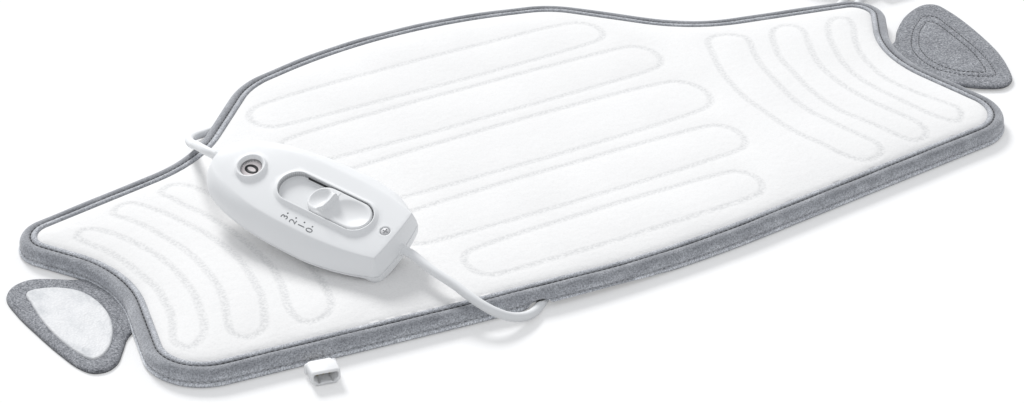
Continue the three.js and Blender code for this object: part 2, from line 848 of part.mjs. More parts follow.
const channelHalf = cordR + 0.7;
const channelHigh = floorZ + cordR + 0.45;
const leadChannel = channel(leadRoute, 9, 19, channelHalf, channelHigh);
const mainsChannel = channel(runRoute, 10, 19, channelHalf, channelHigh);

// Coupling socket, own frame: outward is minus y
const socketPlace = new THREE.Matrix4().makeRotationZ(socketYaw * deg);
socketPlace.setPosition(socketX, socketY, 0.3);
const atSocket = (geometry) => geometry.applyMatrix4(socketPlace);
const sy0 = -socketDepth / 2;
const sy1 = socketDepth / 2;
const hw = socketWidth / 2;
function blockShape(less) {
  const w = hw - less;
  const low = less;
  const high = socketHeight - less;
  return shapeOf([[-w + 1.6, low], [w - 1.6, low], [w, low + 1.6], [w, high - 0.8], [w - 0.8, high],
    [-w + 0.8, high], [-w, high - 0.8], [-w, low + 1.6]]);
}
function block(less, y0, y1) {
  const geometry = new THREE.ExtrudeGeometry(blockShape(less), { depth: y1 - y0, bevelEnabled: false });
  geometry.rotateX(Math.PI / 2);
  geometry.translate(0, y1, 0);
  return geometry;
}
const pinZ = 3.2;
const neckLow = pinZ - neckHeight / 2;
const neckFrom = sy1 + flangeThick - 1;
const neck = box(-neckWidth / 2, neckWidth / 2, neckFrom, sy1 + flangeThick + 4, neckLow, neckLow + neckHeight);
const flange = box(
  -hw - flangeOver, hw + flangeOver - 1.2, sy1 - 0.2, sy1 + flangeThick, 0, socketHeight + 0.4,
);
const cavityBack = sy1 - 2.2;
const pinFrom = cavityBack - 2.2;
const pinRods = [-1, 0, 1].map((k) => {
  const geometry = new THREE.CylinderGeometry(pinDia / 2, pinDia / 2, sy1 + 5 - pinFrom, 10);
  geometry.translate(k * pinPitch, (pinFrom + sy1 + 5) / 2, pinZ);
  return geometry;
});
const pinHoles = [-1, 0, 1].map((k) => {
  const geometry = new THREE.CylinderGeometry(pinDia / 2 + seam, pinDia / 2 + seam, 22, 10);
  geometry.translate(k * pinPitch, sy1 + 2, pinZ);
  return geometry;
});
const socketBody = cut(join(block(0, sy0, sy1), flange, neck), block(socketWall, sy0 - 2, cavityBack), ...pinHoles);
add('socket_shell', atSocket(socketBody), whitePlastic);
pinRods.forEach((geometry, index) => add(`socket_pin_${index + 1}`, atSocket(geometry), brass));
const rootFrom = sy1 + flangeThick + 4 + seam;
const rootBlock = box(-neckWidth / 2, neckWidth / 2, rootFrom, rootFrom + neckLength, neckLow, neckLow + neckHeight);
add('socket_tail', atSocket(cut(rootBlock, ...pinHoles)), darkPlastic);
const neckRoom = atSocket(box(
  -neckWidth / 2 - seam, neckWidth / 2 + seam, sy1 + flangeThick + seam, rootFrom + neckLength + seam,
  -3, neckLow + neckHeight + seam,
));

// Pad layers
const low = [
  inset(bindingWidth + 1.6, 0),
  inset(bindingWidth + 1.3, bindingThick + 0.2),
  inset(marginInset, bindingThick + 0.2),
  inset(marginInset, 5.7),
  inset(bindingWidth + 4, bottomHeight),
];
add('bottom_cover', cut(loft(low, ['x', 'y']), leadChannel, mainsChannel, neckRoom), whitePlush);
add('padding', loft([inward(0.15, paddingLow), inward(0.15, paddingTop)], ['x', 'y']), wadding);
add('heater_carrier', loft([inward(0.17, carrierLow), inward(0.17, carrierTop)], ['x', 'y']), carrierCloth);

const cover = [
  inward(0.4, coverLow),
  inward(0.22, coverLow - 0.2),
  inward(0.1, carrierTop - 0.2),
  inset(bindingWidth + 2.5, bottomHeight + 0.5),
  inset(marginInset, 6.1),
  inset(marginInset, bindingHeight - bindingThick - 0.4),
  inset(bindingWidth + 0.4, bindingHeight - bindingThick - 0.4),
  inset(bindingWidth + 0.8, bindingHeight - 0.3),
  inward(0.1, padTop - 1.6),
  inward(0.22, padTop - 0.3),
  inward(0.4, padTop),
];

// Embossed heater tracks: straight loops across the middle, curved loops in the wings
const straightTracks = [
  // middle x, middle y, half of the straight run, gap between the two lines
  [-4, 89.5, 105, 31],
  [0, 41.5, 111, 33],
  [0, -13.5, 106, 41],
  [0, -68.5, 98, 33],
  [0, -117, 80, 28],
];
const wingTracks = [
  // upper, middle and lower point of the loop's middle line, gap between its two lines
  [[177, 34], [155, -54], [165, -120], 24],
  [[215, 27], [193, -58], [204, -116], 22],
  [[252, 19], [225, -52], [237, -110], 14],
  [[-195, 32], [-175, -50], [-184, -112], 20],
  [[-230, 29], [-207, -50], [-220, -110], 20],
  [[-257, 14], [-239, -50], [-251, -104], 14],
];
const trackPrism = (side) => {
  const shape = shapeOf(side(trackWidth / 2));
  shape.holes.push(shapeOf(side(-trackWidth / 2)));
  return plate(shape, bottomHeight, padTop + 4);
};
function straightLoop([x, y, half, gap]) {
  return trackPrism((grow) => {
    const points = [];
    const r = gap / 2 + grow;
    for (const flip of [1, -1]) {
      for (let i = 0; i <= 3; i += 1) {
        const a = (i * Math.PI) / 3;
        points.push([x + flip * (half + Math.sin(a) * r), y - flip * Math.cos(a) * r]);
      }
    }
    return points;
  });
}
function wingLoop([upper, middle, lower, gap]) {
  const arc = new THREE.QuadraticBezierCurve(
    new THREE.Vector2(...upper),
    new THREE.Vector2(2 * middle[0] - (upper[0] + lower[0]) / 2, 2 * middle[1] - (upper[1] + lower[1]) / 2),
    new THREE.Vector2(...lower),
  );
  return trackPrism((grow) => {
    const steps = 4;
    const r = gap / 2 + grow;
    const points = [];
    for (const way of [1, -1]) {
      for (let i = 0; i <= steps; i += 1) {
        const t = way > 0 ? i / steps : 1 - i / steps;
        const at = arc.getPoint(t);
        const ahead = arc.getTangent(t);
        points.push([at.x + way * ahead.y * r, at.y - way * ahead.x * r]);
      }
      const end = arc.getPoint(way > 0 ? 1 : 0);
      const out = arc.getTangent(way > 0 ? 1 : 0).multiplyScalar(way * r);
      points.push([end.x + out.x, end.y + out.y]);
    }
    return points;
  });
}
const coverSolid = loft(cover, ['x', 'y']);
const trackFloor = coverSolid.clone().translate(0, 0, -trackDepth);
const tracks = [...straightTracks.map(straightLoop), ...wingTracks.map(wingLoop)];
const embossed = cut(coverSolid, ...tracks.map((track) => cut(track, trackFloor)));
add('top_cover', eased(embossed, coverEase), whitePlush);

const bindingSection = [
  [bindingWidth + 1, 0], [2, 0], [0, 2.4], [0, 7.2], [2, bindingHeight - 0.2], [bindingWidth, bindingHeight],
  [bindingWidth, bindingHeight - bindingThick], [3.1, bindingHeight - bindingThick - 0.1],
  [1.7, 6.4], [1.7, 2.7], [3.1, bindingThick - 0.2], [bindingWidth + 1, bindingThick - 0.1],
];
const bindingLoop = outline.map((s) => bindingSection.map(([d, z]) => v3(s.x + s.nx * d, s.y + s.ny * d, z)));
add('edge_binding', cut(band(bindingLoop), leadChannel, mainsChannel, neckRoom), bindingCloth);

// Heating wire: one run to and fro across the middle
const wireRows = [96, 72, 46, 22, -4, -28, -54, -78];
const wirePoints = [];
wireRows.forEach((y, row) => {
  const reach = row < 2 ? 70 : 108;
  const way = row % 2 === 0 ? 1 : -1;
  wirePoints.push(v3(-way * reach, y, wireZ));
  wirePoints.push(v3(0, y, wireZ));
  wirePoints.push(v3(way * reach, y, wireZ));
  if (row + 1 < wireRows.length) {
    const nextReach = row + 1 < 2 ? 70 : 108;
    const r = (y - wireRows[row + 1]) / 2;
    for (let i = 1; i < 6; i += 1) {
      const a = Math.PI / 2 - (i * Math.PI) / 6;
      const x = reach + ((nextReach - reach) * i) / 6 + Math.cos(a) * r;
      wirePoints.push(v3(way * x, y - r + Math.sin(a) * r, wireZ));
    }
  }
});
add('heating_wire', tube(wirePoints, wireDia, 6), wireCoat);
add('thermal_cutout', box(-8, 8, 6.5, 11.5, carrierTop + seam, carrierTop + seam + 1.3), darkPlastic);

// Closing tabs
const leftTab = [[313.5, -6], [301, 6], [288, 3], [268, -2], [252, -20], [252, -60], [266, -72], [275, -77],
  [286, -93], [297, -97], [304.5, -93], [310, -75], [315, -44], [315.5, -20]];
const rightTab = [[331, 25], [320, 26], [301, 15], [279, -4], [252, -18], [252, -60], [269, -69], [288, -87],
  [300, -90], [310, -83], [317, -71], [325, -48], [333, -12], [335, 14]];
const leftPatch = [[303, -9], [291, -11], [279, -23], [275, -43], [279, -65], [289, -82], [296, -84.5],
  [301, -73], [305, -47], [305, -22]];
const rightPatch = [[318, 12], [306, 5], [290, -10], [280, -26], [279, -50], [289, -64], [303, -72],
  [309, -64], [315, -44], [321, -14]];
function curved(points, flip, count) {
  const loop = new THREE.CatmullRomCurve3(points.map(([x, y]) => v3(x * flip, y, 0)), true, 'centripetal');
  return shapeOf(loop.getPoints(count).slice(0, -1));
}
function grown(by) {
  return shapeOf(outline.map((s) => [s.x - s.nx * by, s.y - s.ny * by]));
}
function tab(side, points, patch, flip, low, patchLow) {
  const whole = plate(curved(points, flip, 44), low, low + tabThick);
  const inside = flip > 0 ? [200, hingeX] : [-hingeX, -200];
  const near = box(inside[0], inside[1], -130, 60, -2, 12);
  const axisGap = flip > 0 ? box(hingeX - 1, hingeX + seam, -130, 60, -2, 12)
    : box(-hingeX - seam, -hingeX + 1, -130, 60, -2, 12);
  add(`${side}_tab`, cut(whole, near, axisGap, plate(grown(tabClear), -2, 12)), feltGrey);
  const strip = common(whole, near);
  add(`${side}_tab_seam`, cut(strip, plate(grown(seam), -2, 12)), feltGrey);
  add(`${side}_hook_patch`, plate(curved(patch, flip, 26), patchLow, patchLow + patchThick), hookWhite);
}
tab('left', leftTab, leftPatch, -1, 0.2, 0.2 + tabThick + seam);
tab('right', rightTab, rightPatch, 1, 0.2 + patchThick + seam, 0.2);

// Cord tie round the coil's bundle
const tieWide = 9;
const tieThick = 1.2;
const bundleIn = coilOuter - coilPitch * coilTurns - cordR - 0.6;
const bundleOut = coilOuter + cordR + 0.6;
const bundleLow = coilLift - 0.5;
const bundleHigh = coilLift + cordDia + 3 * coilRise + 0.6;
const tie = cut(
  box(bundleIn - tieThick, bundleOut + tieThick, -tieWide / 2, tieWide / 2, bundleLow - tieThick, bundleHigh + tieThick),
  box(bundleIn, bundleOut, -tieWide, tieWide, bundleLow, bundleHigh),
);
tie.translate(coilX, coilY, 0);
add('cord_tie', tie, darkPlastic);

// Two-pin mains plug, pins to minus x
const plugRings = [
  [0, 5, 4.4], [-8, 6.2, 5], [-13, 12, 6.6], [-26, 17, 6.9], [-37, 17.4, 6.9],
].map(([x, y, z]) => {
  const points = [];
  for (let i = 0; i < 14; i += 1) {
    const a = (i * 2 * Math.PI) / 14;
    const px = Math.sign(Math.cos(a)) * Math.abs(Math.cos(a)) ** 0.5 * y;
    const pz = Math.sign(Math.sin(a)) * Math.abs(Math.sin(a)) ** 0.5 * z;
    points.push(v3(plugX + x, plugY + px, plugZ + pz));
  }
  return points;
});
const plugBody = cut(
  loft(plugRings, ['y', 'z']),
  rod(cordR + seam, plugX - 10, plugX + 4, plugY, plugZ),
  rod(2 + seam, plugX - 48, plugX - 27, plugY - 9.3, plugZ),
  rod(2 + seam, plugX - 48, plugX - 27, plugY + 9.3, plugZ),
);
add('mains_plug', plugBody, whitePlastic);
add('plug_pin_1', rod(2, plugX - 56, plugX - 27.3, plugY - 9.3, plugZ, 12), nickel);
add('plug_pin_2', rod(2, plugX - 56, plugX - 27.3, plugY + 9.3, plugZ, 12), nickel);

// Coupling plug on the pad lead, nose to plus x
const leadEnd = leadRoute[leadRoute.length - 1];
const cpx = leadEnd.x - 9;
const coupling = cut(
  join(
    plate(rounded(cpx + 11, leadEnd.y, 22, 14, 3), leadEnd.z - 4.3, leadEnd.z + 4.3, 3),
    box(cpx + 20, cpx + 30, leadEnd.y - 5.6, leadEnd.y + 5.6, leadEnd.z - 2.3, leadEnd.z + 2.3),
  ),
  rod(cordR + seam, cpx - 3, leadEnd.x + 1, leadEnd.y, leadEnd.z),
  ...[-1, 0, 1].map((k) => rod(pinDia / 2 + seam, cpx + 24, cpx + 34, leadEnd.y + k * pinPitch, leadEnd.z, 8)),
);
add('coupling_plug', coupling, whitePlastic);

export default group;
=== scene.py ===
from math import atan2, ceil, copysign, cos, hypot, pi, radians, sin, tan

import bmesh
import bpy
import numpy as np
from mathutils import Matrix, Vector
from mathutils.geometry import delaunay_2d_cdt


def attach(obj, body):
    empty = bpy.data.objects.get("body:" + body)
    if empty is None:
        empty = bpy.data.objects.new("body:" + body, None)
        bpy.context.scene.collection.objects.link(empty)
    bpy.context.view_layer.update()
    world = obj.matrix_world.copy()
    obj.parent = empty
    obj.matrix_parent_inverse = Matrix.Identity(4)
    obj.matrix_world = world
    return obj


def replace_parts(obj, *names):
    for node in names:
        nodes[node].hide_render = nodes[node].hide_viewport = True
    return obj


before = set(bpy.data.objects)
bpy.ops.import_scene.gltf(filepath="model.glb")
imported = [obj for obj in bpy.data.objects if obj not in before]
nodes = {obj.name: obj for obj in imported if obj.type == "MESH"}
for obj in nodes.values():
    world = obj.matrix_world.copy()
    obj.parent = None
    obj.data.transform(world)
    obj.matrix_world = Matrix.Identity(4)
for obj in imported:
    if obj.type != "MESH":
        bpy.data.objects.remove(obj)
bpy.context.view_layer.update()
scene = bpy.context.scene
MM = 0.001


# Camera at the photograph's viewing angle, lengths in millimetres until placed
AZIMUTH = radians(-30.06)
ELEVATION = radians(30.6)
TARGET = np.array([-28.99, -51.65, 0.0])
DISTANCE = 1420.19
back = np.array([
    sin(AZIMUTH) * cos(ELEVATION), -cos(AZIMUTH) * cos(ELEVATION), sin(ELEVATION),
])
right = np.array([cos(AZIMUTH), sin(AZIMUTH), 0.0])
above = np.cross(back, right)
lens_data = bpy.data.cameras.new("camera")
lens_data.sensor_width = 36
lens_data.lens = 87.89
lens_data.clip_end = 20
camera = bpy.data.objects.new("camera", lens_data)
place = Matrix.Identity(4)
for row in range(3):
    place[row][0] = right[row]
    place[row][1] = above[row]
    place[row][2] = back[row]
    place[row][3] = (TARGET[row] + back[row] * DISTANCE) * MM
camera.matrix_world = place
scene.collection.objects.link(camera)
scene.camera = camera


# Helpers
def make(name, points, faces, material, smooth=True):
    mesh = bpy.data.meshes.new(name)
    mesh.from_pydata([tuple(p) for p in np.asarray(points, float) * MM], [], faces)
    mesh.update()
    if smooth:
        mesh.polygons.foreach_set("use_smooth", [True] * len(mesh.polygons))
    obj = bpy.data.objects.new(name, mesh)
    scene.collection.objects.link(obj)
    if material:
        mesh.materials.append(material)
    return obj


def outward(obj):
    work = bmesh.new()
    work.from_mesh(obj.data)
    bmesh.ops.recalc_face_normals(work, faces=work.faces)
    work.to_mesh(obj.data)
    work.free()
    return obj


def catmull(points, step, closed=False):
    """Centripetal curve through points, resampled at about one step."""
    p = np.asarray(points, float)
    if closed:
        ext = np.vstack([p[-1:], p, p[:2]])
    else:
        ext = np.vstack([2 * p[:1] - p[1:2], p, 2 * p[-1:] - p[-2:-1]])
    dense = []
    for i in range(1, len(ext) - 2):
        a, b, c, d = ext[i - 1], ext[i], ext[i + 1], ext[i + 2]
        t1 = max(np.linalg.norm(b - a), 1e-6) ** 0.5
        t2 = t1 + max(np.linalg.norm(c - b), 1e-6) ** 0.5
        t3 = t2 + max(np.linalg.norm(d - c), 1e-6) ** 0.5
        t = np.linspace(t1, t2, 24, endpoint=False)[:, None]

        def blend(u, v, p_u, p_v):
            return (v - t) / (v - u) * p_u + (t - u) / (v - u) * p_v

        a2 = blend(t1, t2, b, c)
        b1 = blend(0, t2, blend(0, t1, a, b), a2)
        b2 = blend(t1, t3, a2, blend(t2, t3, c, d))
        dense.append(blend(t1, t2, b1, b2))
    dense = np.vstack(dense + [ext[1:2] if closed else ext[-2:-1]])
    run = np.concatenate([[0], np.cumsum(np.linalg.norm(np.diff(dense, axis=0), axis=1))])
    count = max(4, int(round(run[-1] / step)))
    at = np.linspace(0, run[-1], count + 1)
    out = np.stack([np.interp(at, run, dense[:, k]) for k in range(p.shape[1])], 1)
    return out[:-1] if closed else out


def easing(x, low, high):
    t = np.clip((np.asarray(x, float) - low) / (high - low), 0, 1)
    return t * t * (3 - 2 * t)


def table(rows, x):
    """Smooth monotone curve through a table of x, value rows."""
    xs = np.array([r[0] for r in rows], float)
    ys = np.array([r[1] for r in rows], float)
    h = np.diff(xs)
    d = np.diff(ys) / h
    m = np.zeros(len(xs))
    m[0], m[-1] = d[0], d[-1]
    for i in range(1, len(xs) - 1):
        if d[i - 1] * d[i] > 0:
            w1, w2 = 2 * h[i] + h[i - 1], h[i] + 2 * h[i - 1]
            m[i] = (w1 + w2) / (w1 / d[i - 1] + w2 / d[i])
    x = np.clip(np.asarray(x, float), xs[0], xs[-1])
    i = np.clip(np.searchsorted(xs, x, side="right") - 1, 0, len(xs) - 2)
    t = (x - xs[i]) / h[i]
    return ((1 + 2 * t) * (1 - t) ** 2 * ys[i] + t * (1 - t) ** 2 * h[i] * m[i]
            + t * t * (3 - 2 * t) * ys[i + 1] + t * t * (t - 1) * h[i] * m[i + 1])


def near(points, line, closed=True):
    """Distance in plan from each point to a polyline."""
    p = np.asarray(points, float)[:, :2]
    a = np.asarray(line, float)[:, :2]
    b = np.roll(a, -1, axis=0) if closed else a[1:]
    a = a if closed else a[:-1]
    best = np.full(len(p), 1e9)
    for s, e in zip(a, b):
        d = e - s
        t = np.clip(((p - s) @ d) / max(d @ d, 1e-9), 0, 1)
        best = np.minimum(best, np.linalg.norm(p - (s + t[:, None] * d), axis=1))
    return best


def within(points, polygon):
    p = np.asarray(points, float)
    q = np.asarray(polygon, float)
    inside = np.zeros(len(p), bool)
    for (x0, y0), (x1, y1) in zip(q[:, :2], np.roll(q[:, :2], -1, axis=0)):
        cross = (y0 > p[:, 1]) != (y1 > p[:, 1])
        if y1 != y0:
            inside ^= cross & (p[:, 0] < (x1 - x0) * (p[:, 1] - y0) / (y1 - y0) + x0)
    return inside


def outwards(loop):
    """Unit vectors in plan that point to the right of a closed loop."""
    ahead = np.roll(loop, -1, axis=0) - np.roll(loop, 1, axis=0)
    ahead /= np.maximum(np.linalg.norm(ahead, axis=1), 1e-9)[:, None]
    return np.stack([ahead[:, 1], -ahead[:, 0]], 1)


def side_lines(loop, offsets):
    """Lines beside a closed loop, to its left where an offset is positive."""
    return [loop - outwards(loop) * o for o in offsets]


def bands(rows, count, base=0, wrap=False, inside=False):
    """Quads between rows of points, each row a closed loop."""
    quads = []
    for k in range(rows if wrap else rows - 1):
        here, there = base + k * count, base + (k + 1) % rows * count
        for i in range(count):
            j = (i + 1) % count
            a, b, c, d = here + i, here + j, there + j, there + i
            quads.append((a, d, c, b) if inside else (a, b, c, d))
    return quads


def capped(rows, count, base=0):
    """The same with one face over each end."""
    last = base + (rows - 1) * count
    ends = [tuple(range(base + count - 1, base - 1, -1)), tuple(range(last, last + count))]
    return bands(rows, count, base) + ends


def collar(count, base):
    """Quads between the first points, a closed loop, and the loop that starts at base."""
    return [(i, base + i, base + (i + 1) % count, (i + 1) % count) for i in range(count)]


def turns(steps):
    return np.linspace(0, 2 * pi, steps, endpoint=False)


def spun(profile, x, steps):
    """Points and faces of a radius and height profile turned about an upright axis."""
    points = [(x + r * cos(a), r * sin(a), z) for r, z in profile for a in turns(steps)]
    return np.array(points), capped(len(profile), steps)


def raised(plan, z):
    """Plan points with one height for all or one for each."""
    return np.column_stack([plan, np.broadcast_to(z, len(plan))])


def tag(obj, name, values):
    """Give each point a value that the materials read."""
    data = obj.data.attributes.new(name, "FLOAT", "POINT").data
    data.foreach_set("value", np.asarray(values, np.float32))


# Materials
SHEEN_ROUGHNESS = 0.55
WHITE = (1, 1, 1)


def material(name, colour, roughness, build, metallic=0.0, sheen=0.0, coat=0.0, specular=0.5):
    m = bpy.data.materials.new(name)
    m.use_nodes = True
    tree = m.node_tree
    shader = tree.nodes["Principled BSDF"]
    feed(shader, {"Base Color": colour, "Roughness": roughness, "Metallic": metallic, "Coat Weight": coat,
                  "Specular IOR Level": specular, "Sheen Weight": sheen, "Sheen Roughness": SHEEN_ROUGHNESS})
    build(tree, shader)
    return m


def node(tree, kind, **values):
    n = tree.nodes.new(kind)
    for key, value in values.items():
        if key in n.inputs:
            n.inputs[key].default_value = value
        else:
            setattr(n, key, value)
    return n


def feed(target, values):
    """Set a node's inputs to numbers, colours or other nodes' outputs."""
    for index, value in values.items():
        if isinstance(value, bpy.types.NodeSocket):
            target.id_data.links.new(value, target.inputs[index])
        else:
            target.inputs[index].default_value = (*value, 1) if isinstance(value, tuple) else value


def coordinates(tree, scale=(1, 1, 1)):
    c = node(tree, "ShaderNodeTexCoord")
    m = node(tree, "ShaderNodeMapping", Scale=scale)
    feed(m, {"Vector": c.outputs["Object"]})
    return m.outputs["Vector"]


def noise(vector, scale, detail=3.0, rough=0.55):
    n = node(vector.id_data, "ShaderNodeTexNoise", Scale=scale, Detail=detail, Roughness=rough)
    feed(n, {"Vector": vector})
    return n.outputs["Fac"]


def ramp(fac, stops):
    r = node(fac.id_data, "ShaderNodeValToRGB")
    e = r.color_ramp.elements
    while len(e) < len(stops):
        e.new(0.5)
    for element, (at, colour) in zip(e, stops):
        element.position = at
        element.color = (*colour, 1)
    feed(r, {"Fac": fac})
    return r.outputs["Color"]


def mixed(fac, a, b, kind="MIX"):
    m = node(a.id_data, "ShaderNodeMix", data_type="RGBA", blend_type=kind)
    feed(m, {0: fac, 6: a, 7: b})
    return m.outputs[2]


def sums(kind, a, b):
    m = node(a.id_data, "ShaderNodeMath", operation=kind)
    feed(m, {0: a, 1: b})
    return m.outputs[0]


def times(a, b):
    return mixed(1.0, a, b, "MULTIPLY")


def paint(shader, colour):
    feed(shader, {"Base Color": colour})


def bump(shader, height, strength, distance):
    b = node(shader.id_data, "ShaderNodeBump", Strength=strength, Distance=distance)
    feed(b, {"Height": height})
    feed(shader, {"Normal": b.outputs["Normal"]})


def attribute(tree, name):
    return node(tree, "ShaderNodeAttribute", attribute_name=name).outputs["Fac"]


def plush_look(tree, shader):
    v = coordinates(tree)
    fuzz = noise(v, 900, 4, 0.7)
    tuft = noise(v, 260, 3)
    cloud = noise(v, 22, 2)
    tone = ramp(cloud, [(0.3, (0.895, 0.888, 0.88)), (0.7, (0.925, 0.918, 0.91))])
    plain = times(tone, ramp(fuzz, [(0.25, (0.93, 0.93, 0.93)), (0.55, WHITE)]))
    # Painted shade: along the embossed grooves the plush is drawn about a fifth darker, broken into dots by
    # noise
    line = times(plain, (0.8, 0.805, 0.81))
    shade_dots = ramp(noise(v, 640, 2, 0.6), [(0.38, (0.15, 0.15, 0.15)), (0.62, WHITE)])
    mask = sums("MULTIPLY", attribute(tree, "track"), shade_dots)
    paint(shader, mixed(mask, plain, line))
    height = sums("ADD", sums("MULTIPLY", fuzz, 0.6), tuft)
    bump(shader, height, 0.35, 0.0008)


def binding_look(tree, shader):
    v = coordinates(tree)
    nap = noise(v, 1200, 3, 0.7)
    crush = noise(coordinates(tree, (1, 1, 2.5)), 90, 3)
    base = ramp(crush, [(0.28, (0.36, 0.372, 0.402)), (0.55, (0.45, 0.465, 0.497)),
                        (0.78, (0.58, 0.595, 0.627))])
    both = times(base, ramp(nap, [(0.36, (0.55, 0.55, 0.56)), (0.64, (1.35, 1.35, 1.35))]))
    # Painted highlight: a lit copy of the velour, 1.8 times brighter, on the lip's top and the hem's bulge
    both = mixed(attribute(tree, "lit"), both, times(both, (1.8, 1.8, 1.77)))
    # Painted shade: the inner edge, the furrow, the face below it, the hem's underside and the bottom drawn
    # towards near black
    paint(shader, mixed(attribute(tree, "painted_fold_shade"), both, (0.1, 0.105, 0.118)))
    bump(shader, sums("ADD", nap, sums("MULTIPLY", crush, 0.8)), 0.45, 0.0007)


def felt_look(tree, shader):
    v = coordinates(tree)
    fibre = noise(v, 900, 5, 0.75)
    fleck = noise(coordinates(tree, (1.0, 2.2, 1.0)), 1500, 2, 0.6)
    cloud = noise(v, 60, 2)
    base = ramp(fibre, [(0.34, (0.10, 0.105, 0.118)), (0.48, (0.26, 0.27, 0.292)),
                        (0.62, (0.51, 0.52, 0.548)), (0.72, (0.72, 0.73, 0.76))])
    bright = ramp(fleck, [(0.35, (0.66, 0.66, 0.67)), (0.66, (1.25, 1.25, 1.25))])
    tone = ramp(cloud, [(0.3, (0.88, 0.88, 0.89)), (0.7, (1.08, 1.08, 1.08))])
    both = times(times(base, bright), tone)
    # Painted shade: the felt is drawn towards near black at its rim, for the shadow along the tab's thin side
    paint(shader, mixed(attribute(tree, "edge"), both, (0.035, 0.037, 0.042)))
    bump(shader, sums("ADD", fibre, fleck), 0.55, 0.0007)


def hook_look(tree, shader):
    hooks = node(tree, "ShaderNodeTexVoronoi", Scale=780.0)
    feed(hooks, {"Vector": coordinates(tree)})
    crease = noise(coordinates(tree, (1.0, 0.55, 1.0)), 95, 4, 0.6)
    base = ramp(crease, [(0.3, (0.62, 0.635, 0.65)), (0.5, (0.8, 0.805, 0.81)),
                         (0.75, (0.86, 0.86, 0.86))])
    dot = ramp(hooks.outputs["Distance"], [(0.1, WHITE), (0.6, (0.9, 0.9, 0.91))])
    paint(shader, times(base, dot))
    sunk = sums("MULTIPLY", hooks.outputs["Distance"], -0.4)
    bump(shader, sums("ADD", sunk, crease), 0.5, 0.0009)


def moulded(first, second, grain=1400, strength=0.05, scale=18, painted_wall_shade=None, depth=0.0):
    def build(tree, shader):
        if depth:
            feed(shader, {"Subsurface Weight": 0.6, "Subsurface Scale": depth})
            shader.inputs["Subsurface Radius"].default_value = WHITE
        v = coordinates(tree)
        tone = ramp(noise(v, scale, 2), [(0.35, first), (0.65, second)])
        # Painted shade: points tagged for it are drawn towards the given darker colour
        if painted_wall_shade:
            tone = mixed(attribute(tree, "painted_wall_shade"), tone, painted_wall_shade)
        paint(shader, tone)
        rough = shader.inputs["Roughness"].default_value
        spread = node(tree, "ShaderNodeMapRange")
        feed(spread, {"To Min": rough - 0.06, "To Max": rough + 0.08, "Value": noise(v, scale * 9, 3)})
        feed(shader, {"Roughness": spread.outputs["Result"]})
        bump(shader, noise(v, grain, 3, 0.6), strength, 0.0003)
    return build


def brushed(first, second):
    def build(tree, shader):
        streak = noise(coordinates(tree, (1, 1, 14)), 260, 4, 0.7)
        paint(shader, ramp(streak, [(0.3, first), (0.7, second)]))
        bump(shader, streak, 0.12, 0.0002)
    return build


def cast(name, colour, roughness, first, second, *grain, painted_wall_shade=None, depth=0.0, **looks):
    """A material with two tones and a fine grain."""
    return material(name, colour, roughness, moulded(first, second, *grain, painted_wall_shade=painted_wall_shade, depth=depth), **looks)


plush = material("white_plush", (0.84, 0.84, 0.84), 0.95, plush_look, sheen=0.25, specular=0.15)
backing = cast("white_backing", (0.8, 0.8, 0.8), 0.95, (0.74, 0.745, 0.75), (0.82, 0.82, 0.82),
               700, 0.5, 60, specular=0.15)
velour = material("grey_velour", (0.27, 0.285, 0.32), 0.8, binding_look, sheen=0.45, specular=0.25)
thread_grey = cast("grey_thread", (0.5, 0.51, 0.53), 0.6, (0.42, 0.43, 0.46), (0.6, 0.61, 0.63),
                   2600, 0.4, 500, sheen=0.2)
thread_dark = cast("dark_thread", (0.06, 0.062, 0.07), 0.7, (0.045, 0.047, 0.055),
                   (0.09, 0.093, 0.1), 2600, 0.4, 500, sheen=0.2)
felt = material("grey_felt", (0.25, 0.26, 0.28), 0.95, felt_look, sheen=0.25, specular=0.2)
hook = material("white_hook", (0.8, 0.8, 0.81), 0.6, hook_look, specular=0.35)
# The slot's inner wall gets painted shade, a darker grey
plastic = cast("white_plastic", (0.78, 0.79, 0.8), 0.5, (0.87, 0.878, 0.886),
               (0.885, 0.891, 0.898), painted_wall_shade=(0.36, 0.365, 0.375), specular=0.3)
plastic_low = cast("white_plastic_base", (0.76, 0.77, 0.785), 0.5, (0.85, 0.86, 0.87),
                   (0.87, 0.878, 0.886), specular=0.3)
# The socket's cavity gets painted shade, a slightly darker white
nylon = cast("white_nylon", (0.8, 0.81, 0.82), 0.5, (0.9, 0.905, 0.91), (0.92, 0.925, 0.93),
             painted_wall_shade=(0.72, 0.725, 0.73), depth=0.003, specular=0.3)
plastic_key = cast("white_plastic_key", (0.8, 0.81, 0.82), 0.42, (0.86, 0.866, 0.873),
                   (0.88, 0.885, 0.89), specular=0.35)
vinyl = cast("white_vinyl", (0.79, 0.8, 0.81), 0.5, (0.85, 0.86, 0.87), (0.88, 0.886, 0.892),
             900, 0.08, 40, specular=0.3)
window = cast("window_lens", (0.82, 0.74, 0.74), 0.12, (0.90, 0.83, 0.83), (0.94, 0.88, 0.88),
              1200, 0.02, 120, coat=0.6)
ink = cast("dark_ink", (0.02, 0.02, 0.022), 0.45, (0.016, 0.016, 0.018), (0.03, 0.03, 0.033),
           1500, 0.05, 300)
label = cast("grey_ink", (0.16, 0.165, 0.175), 0.5, (0.14, 0.145, 0.155), (0.19, 0.195, 0.205),
             1500, 0.05, 300)
